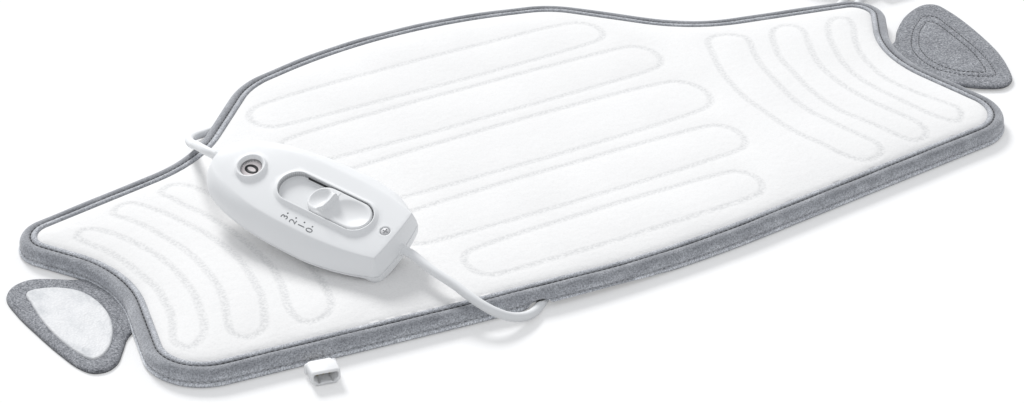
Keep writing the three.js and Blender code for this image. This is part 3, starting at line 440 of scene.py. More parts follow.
# Dark grey for the painted shade in the window's bore
shade = cast("painted_bore_shade", (0.3, 0.295, 0.3), 0.5, (0.25, 0.245, 0.25), (0.34, 0.335, 0.34), 1200, 0.05, 200)
black = cast("black_plastic", (0.03, 0.031, 0.034), 0.45, (0.024, 0.025, 0.028), (0.04, 0.041, 0.045),
             1200, 0.1)
brass = material("brass", (0.62, 0.45, 0.16), 0.3, brushed((0.55, 0.39, 0.13), (0.7, 0.52, 0.2)), metallic=1)
nickel = material("nickel", (0.6, 0.6, 0.61), 0.28, brushed((0.52, 0.52, 0.53), (0.68, 0.68, 0.69)),
                  metallic=1)
board = cast("board_green", (0.045, 0.19, 0.075), 0.45, (0.035, 0.16, 0.06), (0.06, 0.22, 0.09),
             600, 0.1, 60)
film = cast("film_blue", (0.1, 0.2, 0.42), 0.35, (0.08, 0.17, 0.38), (0.12, 0.23, 0.46))
glass = cast("fuse_glass", (0.6, 0.65, 0.62), 0.12, (0.55, 0.6, 0.58), (0.65, 0.7, 0.67))
amber = cast("lamp_amber", (0.8, 0.56, 0.34), 0.3, (0.76, 0.52, 0.3), (0.84, 0.6, 0.38))
wool = cast("wadding", (0.74, 0.72, 0.68), 0.95, (0.68, 0.66, 0.61), (0.8, 0.78, 0.74),
            420, 0.6, 90, specular=0.1)

finishes = {
    plastic_low: ["nose_grommet", "mains_plug", "coupling_plug"],
    black: ["switch_carriage", "diode", "tail_clamp", "nose_clamp", "cord_tie", "thermal_cutout"],
    brass: ["contact_bridge", "contact_0", "contact_1", "contact_2", "contact_3",
            "socket_pin_1", "socket_pin_2", "socket_pin_3"],
    nickel: ["detent_spring", "case_screw", "plug_pin_1", "plug_pin_2"],
    board: ["circuit_board"],
    film: ["capacitor"],
    glass: ["fuse"],
    amber: ["indicator_lamp"],
    wool: ["padding", "heater_carrier", "heating_wire"],
}
for finish, names in finishes.items():
    for name in names:
        nodes[name].data.materials.clear()
        nodes[name].data.materials.append(finish)


# Hand controller frame: x to the tail, y to the far side, z up from the deck
HAND = np.array([-157.0, -46.4, 41.427])
YAW, PITCH, ROLL = (radians(a) for a in (-63.7, 6.9, 20.0))


def turned(angle, i, j):
    """Turn from axis i towards axis j."""
    m = np.eye(3)
    m[i, i] = m[j, j] = cos(angle)
    m[j, i] = sin(angle)
    m[i, j] = -m[j, i]
    return m


TURN = turned(YAW, 0, 1) @ turned(PITCH, 2, 0) @ turned(ROLL, 1, 2)


def held(points):
    return np.asarray(points, float) @ TURN.T + HAND


NOSE_BEND, BEND_FROM, PART_DROP, SEAM, CROWN = -0.0009, -5.0, 9.0, 0.3, 0.8
CORD_R, FLOOR_Z, CORD_D = 2.6, 2.85, 5.2


def bend(x):
    return NOSE_BEND * np.maximum(0, BEND_FROM - np.asarray(x, float)) ** 2


NOSE_SIDE, NOSE_UP, NOSE_CORD_X, TAIL_CORD_X = 2.0, 3, -58.5, 60
tail_z = float(bend(TAIL_CORD_X)) - PART_DROP - SEAM / 2
nose_z = float(bend(NOSE_CORD_X)) - PART_DROP - SEAM / 2 + NOSE_UP


# Cords: the routes of the part's source, with the lead's bend at the front edge eased
def route(text):
    return [[float(v) for v in item.split(",")] for item in text.replace("f", str(FLOOR_Z)).split()]


lead_route = [list(held([x, 0, tail_z])) for x in (49, 58, 66, 72)] + route(
    "-119.3,-122.2,21.4 -112.9,-138.6,17.8 -110,-147.4,15.4 -106.2,-155.2,12.8 -100.9,-161,9.8 "
    "-94.3,-164,6.8 -86.2,-164,4.5 -79.4,-161.4,3.3 -73,-156.8,2.9 -45,-134,f 10,-92,f 90,-48,f 170,-14,f "
    "230,12,f 268,34,f 288,48.6,f 302,57.6,3.8 311,60,4.6 316,60,4.6 322,60,4.6")
mains_route = [list(held([x, NOSE_SIDE, nose_z])) for x in (-46, -54, -61, -68.5)] + route(
    "-181.6,37.4,36 -175.6,58.4,25 -170.2,76.2,16.5 -166.7,86,12 -162.2,94.4,8 -157.1,100.5,5 "
    "-150.4,104,3.2 -139,105.4,f -100,100,f -20,84,f 60,66,f 130,48,f 186,36.5,f 226,34.5,f "
    "256,41.5,f 284,57,3.6")


COIL_AT, COIL_R, COIL_START, COIL_LAYERS, COIL_WINDS = (308, 112), 33.5, radians(-62), 4, 1.21
COIL_STEPS, COIL_IN, COIL_UP = 24, 6.4, 6.2


def wound_points():
    """Layers wound inwards and outwards in turn, each joined to the next by half a turn that climbs."""
    points, radius, z, step = [], COIL_R, CORD_R + 1.9, 0

    def put():
        a = COIL_START + step * 2 * pi / COIL_STEPS
        points.append([COIL_AT[0] + cos(a) * radius, COIL_AT[1] + sin(a) * radius, z])

    for k in range(COIL_LAYERS):
        for i in range(round(COIL_STEPS * COIL_WINDS)):
            put()
            step += 1
            radius += (1 if k % 2 else -1) * COIL_IN / COIL_STEPS
        if k < COIL_LAYERS - 1:
            for i in range(COIL_STEPS // 2):
                put()
                step += 1
                z += COIL_UP / (COIL_STEPS // 2)
    put()
    return np.array(points)


wound = wound_points()
enter = (wound[1] - wound[0]) / np.linalg.norm(wound[1] - wound[0])
leave = (wound[-1] - wound[-2]) / np.linalg.norm(wound[-1] - wound[-2])
run_line = catmull(mains_route + [list(wound[0] - enter * CORD_D * 1.2)], 4)
tail_line = catmull([list(wound[-1] + leave * CORD_D * d) for d in (0, 1.2, 3.9)]
                    + [[287, 156.6, 17], [272, 154.8, 10.2], [261, 154, 7.4], [252, 154, 7.4]], 4)
mains_line = np.vstack([run_line, catmull(wound, 3.6), tail_line[1:]])
lead_line = catmull(lead_route, 4)


def cord_curve(name, line):
    data = bpy.data.curves.new(name, "CURVE")
    data.dimensions = "3D"
    data.bevel_depth = CORD_R * MM
    data.bevel_resolution = 4
    data.use_fill_caps = True
    spline = data.splines.new("POLY")
    spline.points.add(len(line) - 1)
    for point, at in zip(spline.points, line):
        point.co = (*(at * MM), 1)
    spline.use_smooth = True
    obj = bpy.data.objects.new(name, data)
    data.materials.append(vinyl)
    scene.collection.objects.link(obj)
    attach(obj, "pad")
    return obj


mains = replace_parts(cord_curve("mains_lead", mains_line), "mains_cord", "mains_coil")
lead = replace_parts(cord_curve("coupling_lead", lead_line), "pad_lead")


# Pad outline, mirrored corner polygon with rounded corners
PAD_HALF = [(0, -164.3, 690), (282, -134.6, 34), (259.9, -27.6, 75), (306.4, 43.3, 22),
            (174.5, 71.4, 90), (111.3, 141.5, 60), (0, 171.6, 316)]


def outline_of(span):
    corners = PAD_HALF + [(-x, y, r) for x, y, r in PAD_HALF[1:-1][::-1]]
    samples = []
    n = len(corners)
    for i in range(n):
        bx, by, _ = corners[i - 1]
        x, y, radius = corners[i]
        ax, ay, _ = corners[(i + 1) % n]
        a1, a2 = atan2(y - by, x - bx), atan2(ay - y, ax - x)
        turn = (a2 - a1 + pi) % (2 * pi) - pi
        side = copysign(1, turn)
        reach = radius * tan(abs(turn) / 2)
        mx = x - cos(a1) * reach - sin(a1) * radius * side
        my = y - sin(a1) * reach + cos(a1) * radius * side
        steps = max(4, ceil(radius * abs(turn) / span))
        for k in range(steps + 1):
            a = a1 + turn * k / steps
            ahead, across = cos(a), sin(a)
            samples.append((mx + across * radius * side, my - ahead * radius * side, -across, ahead))
    out = []
    for s, e in zip(samples, samples[1:] + samples[:1]):
        gap = hypot(e[0] - s[0], e[1] - s[1])
        if gap < 0.05:
            continue
        parts = max(1, ceil(gap / span))
        for k in range(parts):
            f = k / parts
            out.append([s[j] + (e[j] - s[j]) * f for j in range(4)])
    return np.array(out)


rim = outline_of(3.0)


def inset(distance, samples=rim):
    return samples[:, :2] + samples[:, 2:] * distance


UNDER_Z, CORD_TOP, CORD_NEAR, CORD_FAR = 5.2, 5.7, 2.9, 6.4
under_lines = [line[line[:, 2] < UNDER_Z] for line in (lead_line, run_line)]


def cord_lift(points):
    """Lowest height that leaves the cords under the pad free."""
    d = np.min([near(points, line, closed=False) for line in under_lines], axis=0)
    return CORD_TOP * (1 - easing(d, CORD_NEAR, CORD_FAR))


# Embossed heater tracks, as centre lines in plan
END_LONG = 0.8


def racetrack(x0, x1, y0, y1):
    """A long loop with rounded ends, each a little flatter than a half circle."""
    r = (y1 - y0) / 2
    turn = [(sin(a), cos(a)) for a in np.linspace(0, pi, 7)]
    return [(x1 - r * END_LONG + s * r * END_LONG, y0 + r + c * r) for s, c in turn] + [
        (x0 + r * END_LONG - s * r * END_LONG, y0 + r - c * r) for s, c in turn]


def pairs(text):
    return [tuple(float(v) for v in item.split(",")) for item in text.split()]


track_loops = [
    racetrack(-125, 116, 74, 105), racetrack(-128, 128, 25, 58), racetrack(-127, 127, -34, 7),
    racetrack(-114, 115, -85, -52), racetrack(-94, 94, -131, -103),
    pairs("-263,18 -258,23 -252,20 -245,10 -238,-6 -234,-20 -231,-38 -231,-54 -232,-70 -235,-83 -238,-95 "
          "-243,-105 -248,-110 -254,-112 -258,-103 -255,-94 -250,-81 -248,-70 -246,-52 -248,-34 -250,-20 "
          "-255,-2 -261,10"),
    pairs("-237,30 -231,37 -224,37 -217,26 -211,13 -206,-2 -202,-14 -199,-28 -197,-46 -198,-62 -200,-77 "
          "-203,-91 -208,-104 -213,-114 -219,-118 -225,-118 -229,-112 -226,-97 -221,-83 -218,-69 -217,-53 "
          "-217,-37 -219,-21 -222,-10 -226,6 -233,22"),
    pairs("-205,38 -202,29 -200,20 -194,4 -189,-16 -186,-40 -185,-65 -187,-77 -190,-90 -194,-103 -195,-113 "
          "-193,-120 -188,-122 -180,-120 -174,-114 -171,-105 -168,-88 -166,-65 -167,-40 -171,-16 -177,8 "
          "-184,28 -190,40 -198,44"),
    pairs("166,40 159,25 151,5 146,-15 143,-35 143,-54 143,-70 145,-87 149,-101 153,-118 158,-127 165,-130 "
          "175,-126 178,-118 176,-110 173,-98 170,-83 167,-68 167,-52 169,-36 172,-21 176,-3 181,11 187,24 "
          "189,32 186,38 180,43 172,44"),
    pairs("207,29 200,17 192,0 188,-18 184,-38 182,-56 183,-76 187,-90 191,-103 195,-117 199,-124 206,-125 "
          "213,-119 214,-111 212,-101 209,-90 206,-76 204,-59 204,-43 207,-22 212,-8 220,9 226,22 226,29 "
          "222,34 214,34"),
    pairs("246,22 236,8 227,-11 221,-28 218,-46 219,-65 222,-82 225,-99 229,-111 235,-119 242,-116 246,-108 "
          "245,-101 240,-89 235,-73 232,-56 234,-39 239,-21 248,-3 258,12 261,22 255,27"),
]
tracks = [catmull(loop, 2.6, closed=True) for loop in track_loops]


def hexagons(low, high, step):
    out = []
    for j, y in enumerate(np.arange(low[1], high[1], step * 0.866)):
        for x in np.arange(low[0] + (j % 2) * step / 2, high[0], step):
            out.append((x, y))
    return np.array(out)


def fill(boundary, rows, step, clear):
    """Triangles over a plan area: rows of points are kept, and a grid fills what is clear of them."""
    kept = np.vstack([boundary] + list(rows)) if len(rows) else boundary
    grid = hexagons(boundary.min(0), boundary.max(0), step)
    grid = grid[within(grid, boundary)]
    cell = {}
    for p in kept:
        cell.setdefault((int(p[0] // clear), int(p[1] // clear)), []).append(p)
    free = []
    for p in grid:
        cx, cy = int(p[0] // clear), int(p[1] // clear)
        close = [q for i in (-1, 0, 1) for j in (-1, 0, 1) for q in cell.get((cx + i, cy + j), [])]
        if not close or np.min(np.linalg.norm(np.array(close) - p, axis=1)) > clear:
            free.append(p)
    every = np.vstack([kept, free]) if free else kept
    points, _, faces, _, _, _ = delaunay_2d_cdt(
        [Vector(p) for p in every], [], [list(range(len(boundary)))], 1, 1e-4, False)
    points = np.array([tuple(p) for p in points])
    middles = np.array([points[list(f)].mean(0) for f in faces])
    return points, [list(f) for f, keep in zip(faces, within(middles, boundary)) if keep]


def nearest_track(points):
    best = np.full(len(points), 1e9)
    for loop in tracks:
        low, high = loop.min(0) - 30, loop.max(0) + 30
        pick = np.all((points > low) & (points < high), axis=1)
        if pick.any():
            best[pick] = np.minimum(best[pick], near(points[pick], loop))
    return best


FRONT_X, FRONT_Y, FRONT_LIFT, FRONT_NEAR, FRONT_FAR, FRONT_SKEW = -62.0, -100, 3.0, 8, 30, 3.2
FRONT_RISE, RISE_WIDE, RISE_FROM, RISE_TO = 1.0, 34, -152, -96


def front_lift(points):
    """Height of the binding's lower edge where it bridges the lead."""
    off = points[:, 0] - FRONT_X
    off = np.where(off < 0, -off, off / FRONT_SKEW)
    return FRONT_LIFT * (1 - easing(off, FRONT_NEAR, FRONT_FAR)) * (points[:, 1] < FRONT_Y)


def front_rise(points):
    """How far the soft edge rides up where the lead passes under it."""
    beside = np.exp(-((points[:, 0] - FRONT_X) / RISE_WIDE) ** 2)
    return FRONT_RISE * beside * (1 - easing(points[:, 1], RISE_FROM, RISE_TO))


EDGE_IN, EDGE_LOW, EDGE_TOP = 10.2, 0.6, 8.7
edge_line = inset(EDGE_IN)
cover_rows = [inset(d) for d in (12.2, 15)] + [inset(d, rim[::2]) for d in (19, 25)]
cover_rows += [line for loop in tracks for line in side_lines(loop, (-3.0, -1.5, 0, 1.5, 3.0))]
cover_rows = [row[within(row, inset(11))] for row in cover_rows]
cover_plan, cover_faces = fill(edge_line, cover_rows, step=6.0, clear=3.2)
edge_far = near(cover_plan, edge_line[::2])
track_far = nearest_track(cover_plan)
RISE_AT, RISE_Z = [0, 1.2, 4, 9, 16, 26, 42, 60], [EDGE_TOP, 9.7, 10.5, 11.3, 11.95, 12.5, 12.75, 12.8]
rise = np.interp(edge_far, RISE_AT, RISE_Z)
GROOVE_HALF, GROOVE_DEEP, PUFF, PUFF_WIDE = 3.1, 0.2, 0.1, 7.0
groove = np.cos(np.clip(track_far / GROOVE_HALF, 0, 1) * pi / 2) ** 2
puff = PUFF * (1 - np.exp(-(track_far / PUFF_WIDE) ** 2)) * easing(edge_far, 4, 18)
sway = 0.16 * np.sin(cover_plan[:, 0] / 27 + 0.6) * np.sin(cover_plan[:, 1] / 21 + 1.1)
sway += 0.1 * np.sin(cover_plan[:, 0] / 11 + cover_plan[:, 1] / 16)
cover_top = rise + puff - GROOVE_DEEP * groove + (sway - 0.2) * easing(edge_far, 2, 14) + front_rise(cover_plan)

PRESSURE, TENSION, FRAMES, SWELL, HELD_TRACK, HELD_EDGE = 6.0, 5.0, 20, 0.55, 1.2, 3.5


def swell(obj, held_points):
    """Blow the cloth up between its sewn lines, and keep each point within the cap."""
    rest = np.array([v.co for v in obj.data.vertices])
    group = obj.vertex_groups.new(name="sewn")
    group.add([int(i) for i in np.nonzero(held_points)[0]], 1.0, "REPLACE")
    cloth = obj.modifiers.new("swell", "CLOTH")
    cloth.settings.vertex_group_mass = "sewn"
    cloth.settings.use_pressure = True
    cloth.settings.uniform_pressure_force = PRESSURE
    cloth.settings.effector_weights.gravity = 0
    cloth.settings.tension_stiffness = cloth.settings.compression_stiffness = TENSION
    cloth.point_cache.frame_end = FRAMES
    for frame_number in range(1, FRAMES + 1):
        scene.frame_set(frame_number)
    shaped = obj.evaluated_get(bpy.context.evaluated_depsgraph_get()).to_mesh()
    moved = np.array([v.co for v in shaped.vertices]) - rest
    obj.modifiers.remove(cloth)
    obj.vertex_groups.remove(group)
    scene.frame_set(1)
    size = np.linalg.norm(moved, axis=1) / MM
    share = SWELL * np.tanh(size / SWELL) / np.maximum(size, 1e-6)
    obj.data.vertices.foreach_set("co", (rest + moved * share[:, None]).astype(np.float32).ravel())
    obj.data.update()


back_rows = [inset(d, rim[::2]) for d in (13, 18)]
for line in under_lines:
    ahead = np.gradient(line[:, :2], axis=0)
    ahead /= np.linalg.norm(ahead, axis=1)[:, None]
    across = np.stack([-ahead[:, 1], ahead[:, 0]], 1)
    back_rows += [line[:, :2] + across * o for o in (-7.4, -5.5, -4, 0, 4, 5.5, 7.4)]
back_rows = [row[within(row, inset(11.5))] for row in back_rows]
back_plan, back_faces = fill(edge_line, back_rows, step=13.0, clear=5.0)
back_far = near(back_plan, edge_line[::2])
back_low = 0.25 + 0.35 * (1 - easing(back_far, 0, 8)) + front_rise(back_plan)
back_low = np.maximum(back_low, cord_lift(back_plan))

cover = make("pad_cover", raised(cover_plan, cover_top), cover_faces, plush)
swell(cover, (track_far < HELD_TRACK) | (edge_far < HELD_EDGE))
# How close each point is to a groove, for the plush's painted groove shade
tag(cover, "track", 1 - easing(track_far, 0.9, 3.0))
back_faces = [f[::-1] for f in back_faces]
underside = make("pad_underside", raised(back_plan, back_low), back_faces, backing)
edge_up = front_rise(edge_line)
skirt = make("pad_side", np.vstack([raised(edge_line, z + edge_up) for z in (EDGE_LOW, EDGE_TOP)]),
             bands(2, len(edge_line)), backing)
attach(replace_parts(cover, "top_cover"), "pad")
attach(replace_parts(underside, "bottom_cover"), "pad")
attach(skirt, "pad")

# Edge binding: folded tape as inset and height, with an inner lip, a sewn furrow, a smooth face and a hem.
# Painted shade and painted highlight for each point of the fold come after it.
TAPE = [(10.9, 8.6), (10.7, 9.5), (10.1, 10.15), (9.2, 10.4), (8.2, 10.2), (7.4, 9.65), (6.95, 9.2),
        (6.5, 9.55), (5.7, 10.05), (4.7, 10.2), (3.7, 10.05), (2.8, 9.6), (2.0, 8.9), (1.4, 8.0), (1.0, 6.9),
        (0.8, 5.7), (0.8, 4.6), (1.0, 3.8), (1.25, 3.3), (0.75, 3.0), (0.2, 2.4), (0.0, 1.7), (0.3, 0.8),
        (1.6, 0.25), (11.2, 0.4)]
# Painted shade for each point of the fold, then painted highlight
PAINTED_FOLD_SHADE = [0.6, 0.4, 0.15, 0.02, 0.05, 0.45, 0.9, 0.6, 0.48, 0.43, 0.36, 0.3, 0.22, 0.12, 0.06, 0, 0, 0.2,
            0.5, 0.1, 0, 0, 0.3, 0.7, 0.7]
LIP_LIT = [0, 0, 0.1, 0.16, 0.14] + [0] * 9 + [0.05, 0.15, 0.3, 0.1, 0, 0.5, 0.75, 0.75, 0.3, 0, 0]
tape_rim = outline_of(2.4)
ring = len(tape_rim)
run = np.cumsum(np.linalg.norm(np.roll(tape_rim[:, :2], -1, axis=0) - tape_rim[:, :2], axis=1))
tape_points = []
for k, (d, z) in enumerate(TAPE):
    line = inset(d, tape_rim)
    wave = 0.16 * np.sin(run / 9.7 + k * 0.5) * np.sin(run / 23.0 + k * 0.2) if 3 < k < 17 else 0 * run
    height = np.full(ring, z) + wave
    lift = np.maximum(cord_lift(line), front_lift(line))
    height = height + front_rise(line)
    tape_points.append(raised(line, np.maximum(height, lift) if z < 6 else height))
tape = outward(make("binding_tape", np.vstack(tape_points), bands(len(TAPE), ring, wrap=True), velour))
# Painted shade and painted highlight along the fold, read by the velour
tag(tape, "painted_fold_shade", np.repeat(PAINTED_FOLD_SHADE, ring))
tag(tape, "lit", np.repeat(LIP_LIT, ring))
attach(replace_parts(tape, "edge_binding"), "pad")


# One stitch: share of its length, thickness and height in radii
STITCH = [(0.0, 0.25, -0.5), (0.12, 0.85, 0.1), (0.35, 1.0, 0.55), (0.65, 1.0, 0.55), (0.88, 0.85, 0.1),
          (1.0, 0.25, -0.5)]


def stitches(name, line, heights, body, mat, pitch, share, radius):
    """A closed row of thread stitches that follow a line."""
    loop = np.vstack([line, line[:1]])
    high = np.append(heights, heights[:1])
    at = np.concatenate([[0], np.cumsum(np.linalg.norm(np.diff(loop, axis=0), axis=1))])
    number = int(at[-1] / pitch)
    points, faces = [], []
    for n in range(number):
        s0 = (n + 0.5) * at[-1] / number - pitch * share / 2
        base = len(points)
        for f, size, up in STITCH:
            s = s0 + pitch * share * f
            c = np.array([np.interp(s, at, loop[:, 0]), np.interp(s, at, loop[:, 1])])
            e = np.array([np.interp(s + 0.3, at, loop[:, 0]), np.interp(s + 0.3, at, loop[:, 1])]) - c
            e /= max(np.linalg.norm(e), 1e-9)
            z = np.interp(s, at, high) + up * radius
            for a in range(6):
                w, h = cos(a * pi / 3) * radius * size, sin(a * pi / 3) * radius * size
                points.append((c[0] - e[1] * w, c[1] + e[0] * w, z + h))
        faces += capped(len(STITCH), 6, base)
    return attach(make(name, points, faces, mat), body)


SEWN, FURROW_IN, FURROW_Z, HEM_IN, HEM_Z = (3.3, 0.72), 6.95, 9.4, 1.0, 3.4
furrow = inset(FURROW_IN, tape_rim)
stitches("binding_stitch_inner", furrow, FURROW_Z + front_rise(furrow), "pad", thread_dark, *SEWN, 0.36)
hem = inset(HEM_IN, tape_rim)
hem_z = np.maximum(HEM_Z + front_rise(hem), np.maximum(cord_lift(hem), front_lift(hem)) + 0.5)
stitches("binding_stitch_outer", hem, hem_z, "pad", thread_grey, *SEWN, 0.34)


# Side tabs: a fixed root sewn under the binding, and a felt tab that folds on it
LEFT_TAB = pairs("314,-7 309,0.8 303,4 295,4 285.5,-1 276,-7.5 252,-20 252,-60 264,-67 272.5,-74 279,-83.5 "
                 "286,-93 293,-96.5 300,-94.5 304.5,-87 308.5,-70 312,-47 314.5,-24")
RIGHT_TAB = pairs("334.5,24 327,28 308,21.5 290,7.5 278,-5 252,-18 252,-60 270,-66 289,-82 300,-86.5 "
                  "310,-82 318,-69 326.5,-48 334,-12 336,10")
LEFT_PATCH = pairs("303,-9 291,-10.5 278,-22 273,-43 277,-65.5 288,-83 296,-86 301.5,-74 305.5,-47 305,-22")
RIGHT_PATCH = pairs("318,12 306,5 290,-10 280,-26 279,-50 289,-64 303,-72 309,-64 315,-44 321,-14")
right_rim = rim[rim[:, 0] > 200]
right_rim = right_rim[np.argsort(right_rim[:, 1])]
right_rim = right_rim[(right_rim[:, 1] > -125) & (right_rim[:, 1] < 45)]


def guard(y, gap, least):
    """Smallest x allowed at y outside the pad's edge by a gap."""
    line = right_rim[:, :2] - right_rim[:, 2:] * gap
    order = np.argsort(line[:, 1])
    return np.maximum(np.interp(y, line[order, 1], line[order, 0]), least)


def area_between(loop, low, high):
    """Part of a plan loop between two x limits that depend on y."""
    ys = np.arange(loop[:, 1].min() + 0.02, loop[:, 1].max(), 0.6)
    west, east = [], []
    for y in ys:
        hits = []
        for (x0, y0), (x1, y1) in zip(loop, np.roll(loop, -1, axis=0)):
            if (y0 > y) != (y1 > y):
                hits.append(x0 + (y - y0) * (x1 - x0) / (y1 - y0))
        a, b = max(min(hits), float(low(y))), min(max(hits), float(high(y)))
        if b - a > 0.15:
            west.append((a, y))
            east.append((b, y))
    ring_line = np.array(east + west[::-1])
    return catmull(ring_line, 1.2, closed=True)


ROLL_ROWS = (0.35, 0.9, 1.8)


def plate_of(name, body, loop, side, low, high, mat, edge, top=(), creases=None, rolled=None):
    """A thin soft plate over a plan loop, its upper edge rolled over."""
    rows = []
    for d, row in zip(ROLL_ROWS, side_lines(loop, ROLL_ROWS)):
        row = row[near(row, loop) > d * 0.85]
        rows.append(row[within(row, loop)])
    plan, faces = fill(loop, rows + list(top), step=3.5, clear=0.9)
    far = near(plan, loop if rolled is None else rolled)
    t = np.clip(far / edge, 0, 1)
    z = low + (high - low) * (0.26 + 0.74 * np.sqrt(1 - (1 - t) ** 2))
    z = z + 0.12 * np.sin(plan[:, 0] / 6.1 + plan[:, 1] / 9.7) * np.sin(plan[:, 1] / 5.3) * easing(far, 1, 5)
    if creases is not None:
        z = z + creases(plan, far)
    number = len(plan)
    points = np.vstack([raised(plan, z), raised(plan, low)])
    points[:, 0] *= side
    whole = [tuple(f) for f in faces] + [tuple(number + i for i in f[::-1]) for f in faces]
    obj = outward(make(name, points, whole + collar(len(loop), number), mat))
    # Painted shade along the rim, stronger on the underside than on the top
    tag(obj, "edge", np.concatenate([0.4 * (1 - easing(far, 0.0, 0.5)), 0.75 * (1 - easing(far, 0.1, 0.6))]))
    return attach(obj, body)


def hook_creases(plan, far):
    fold = np.sin(plan[:, 0] / 2.6 + np.sin(plan[:, 1] / 7.0) * 1.4) * np.sin(plan[:, 1] / 6.4 + 0.7)
    return 0.16 * fold * easing(far, 0.8, 3.5)


WIDE, FELT_EDGE, LEAF_Z = 400.0, 2.8, 3.45
tab_loops = {"left": catmull(LEFT_TAB, 1.5, closed=True), "right": catmull(RIGHT_TAB, 1.5, closed=True)}
LEAF_OUT = pairs("288,-10 298,1 307,8 316,13 322,9 321.5,-3 320,-16 315,-45 308,-66 303,-74 296,-71 289,-66 "
                 "278,-51 276.5,-42 277,-33 281,-20")
LEAF_IN = pairs("293,-11 301,-2 308,3 313.5,6 316.5,2 315.5,-14 311,-43 305,-60 301,-67 294,-63 287,-57 "
                "282.5,-47 282,-35 285.5,-22")
leaf_lines = [catmull(leaf, 1.2, closed=True) for leaf in (LEAF_OUT, LEAF_IN)]


def leaf_furrow(plan, far):
    d = np.minimum(near(plan, leaf_lines[0]), near(plan, leaf_lines[1]))
    return -0.38 * np.exp(-(d / 0.8) ** 2) + 0.12 * np.exp(-((d - 2.2) / 1.0) ** 2)


for name, side, low, high in (("left", -1, 0.2, 2.6), ("right", 1, 1.3, 3.7)):
    loop = tab_loops[name]
    moving = area_between(loop, lambda y: guard(y, gap=4.5, least=272.3), lambda y: WIDE)
    fixed = area_between(loop, lambda y: guard(y, gap=-6.0, least=240),
                         lambda y: guard(y, gap=4.4, least=272.2))
    extra = []
    if name == "right":
        extra = [line for leaf in leaf_lines for line in side_lines(leaf, (-1.8, -0.8, 0, 0.8, 1.8))]
        extra = [row[within(row, moving)] for row in extra]
    tab = plate_of(name + "_felt", name + "_flap", moving, side, low, high, felt, FELT_EDGE, extra,
                   creases=leaf_furrow if name == "right" else None, rolled=loop)
    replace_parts(tab, name + "_tab")
    root = plate_of(name + "_root", "pad", fixed, side, low + 0.1, high, felt, FELT_EDGE, rolled=loop)
    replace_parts(root, name + "_tab_seam")
left_patch, right_patch = (catmull(patch, 1.2, closed=True) for patch in (LEFT_PATCH, RIGHT_PATCH))
left_hook = plate_of("left_hook", "left_flap", left_patch, -1, low=2.45, high=3.5, mat=hook, edge=0.9,
                     creases=hook_creases)
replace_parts(left_hook, "left_hook_patch")
right_hook = plate_of("right_hook", "right_flap", right_patch, 1, low=0.25, high=1.35, mat=hook, edge=0.4)
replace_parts(right_hook, "right_hook_patch")
for k, leaf in enumerate(leaf_lines):
    stitches("leaf_stitch_%d" % (k + 1), leaf, np.full(len(leaf), LEAF_Z), "right_flap", thread_dark,
             pitch=2.9, share=0.7, radius=0.26)

# Hand controller: a deck with a skirt that flares to the parting line, and a bowl below it
HALF = [(-61, 5), (-59.6, 10.4), (-56, 15.6), (-49, 21), (-40, 25), (-28, 28.4), (-14, 30.8), (3, 32),
        (20, 32.2), (38, 30.2), (52, 26.8), (62.2, 22.9)]
DECK = [(-61, 1.6), (-59.6, 4), (-56, 7.6), (-49, 11.6), (-40, 15.2), (-28, 19), (-14, 21.6), (3, 22.5),
        (20, 22.5), (38, 21.5), (52, 19.5), (61.2, 17.5)]
BELLY = [(-61, 14.6), (-49, 15.6), (-28, 17.4), (0, 18.5), (30, 18.4), (61.8, 18.2), (66, 17.2)]
DROPS = [(-61, 1.6), (-59.6, 0.9), (-56, 0.4), (-49, 0.1), (-40, 0), (61.8, 0)]
TAIL_X, TAIL_BOW, END_X, END_BOW, END_SKEW, SEAM_OPEN = 62.3, 1.1, 65.8, 1.7, 0.055, 0.6


def around(side_x, side_y, end, tip):
    """A closed plan loop from the nose along the near side, across the tail and back."""
    nose = np.column_stack([np.full(5, side_x[0]), np.linspace(side_y[0], -side_y[0], 7)[1:-1]])
    nose[:, 0] -= tip * (1 - (nose[:, 1] / side_y[0]) ** 2)
    near_side = np.column_stack([side_x, -side_y])
    return np.vstack([near_side, end, (near_side * [1, -1])[::-1], nose])


part_x = np.concatenate([np.linspace(-61, -52, 24), np.linspace(-50, 60, 74), np.linspace(60.4, 62.2, 5)])
deck_x = np.interp(part_x, [-61, -49, -25, 40, 60, 62.2], [-57.6, -47.6, -25, 40, 59.2, 60.9])
end_y = np.linspace(-1, 1, 35)
part_end = np.column_stack([END_X - END_BOW * np.abs(end_y) ** 2.4, 20.9 * end_y])
deck_end = np.column_stack([TAIL_X - TAIL_BOW * np.abs(end_y) ** 2.4, 17.4 * end_y])
part_loop = around(part_x, table(HALF, part_x), part_end, 0.7)
near_tail = easing(part_loop[:, 0], 40, 62)
part_loop[:, 0] -= END_SKEW * part_loop[:, 1] * easing(part_loop[:, 0], 57, 62)
part_loop[:, 1] *= np.where(part_loop[:, 1] > 0, 1 - 0.13 * near_tail, 1)
deck_loop = around(deck_x, table(DECK, deck_x), deck_end, 1.2)
line = len(part_loop)


def deck(x, y):
    x = np.asarray(x, float)
    level = bend(x) - table(DROPS, np.minimum(x, 61.8))
    share = np.clip(np.abs(y) / table(DECK, np.minimum(x, 61.2)), 0, 1)
    return level + CROWN * np.minimum(1, table(HALF, np.minimum(x, 62.2)) / 20) * (1 - share ** 2)


RING_X, SLOT_X, SLOT_LONG, SLOT_WIDE, SCREW_X = -34.8, 16.5, 59.8, 20.0, 56.0
RIM_TOP, SLOT_FLOOR, COLLAR = CROWN + 1.7, CROWN - 1.7, 1.9


def stadium_far(x, y, mid, long, wide):
    reach = (long - wide) / 2
    dx = np.maximum(np.abs(x - mid) - reach, 0)
    return np.hypot(dx, y) - wide / 2


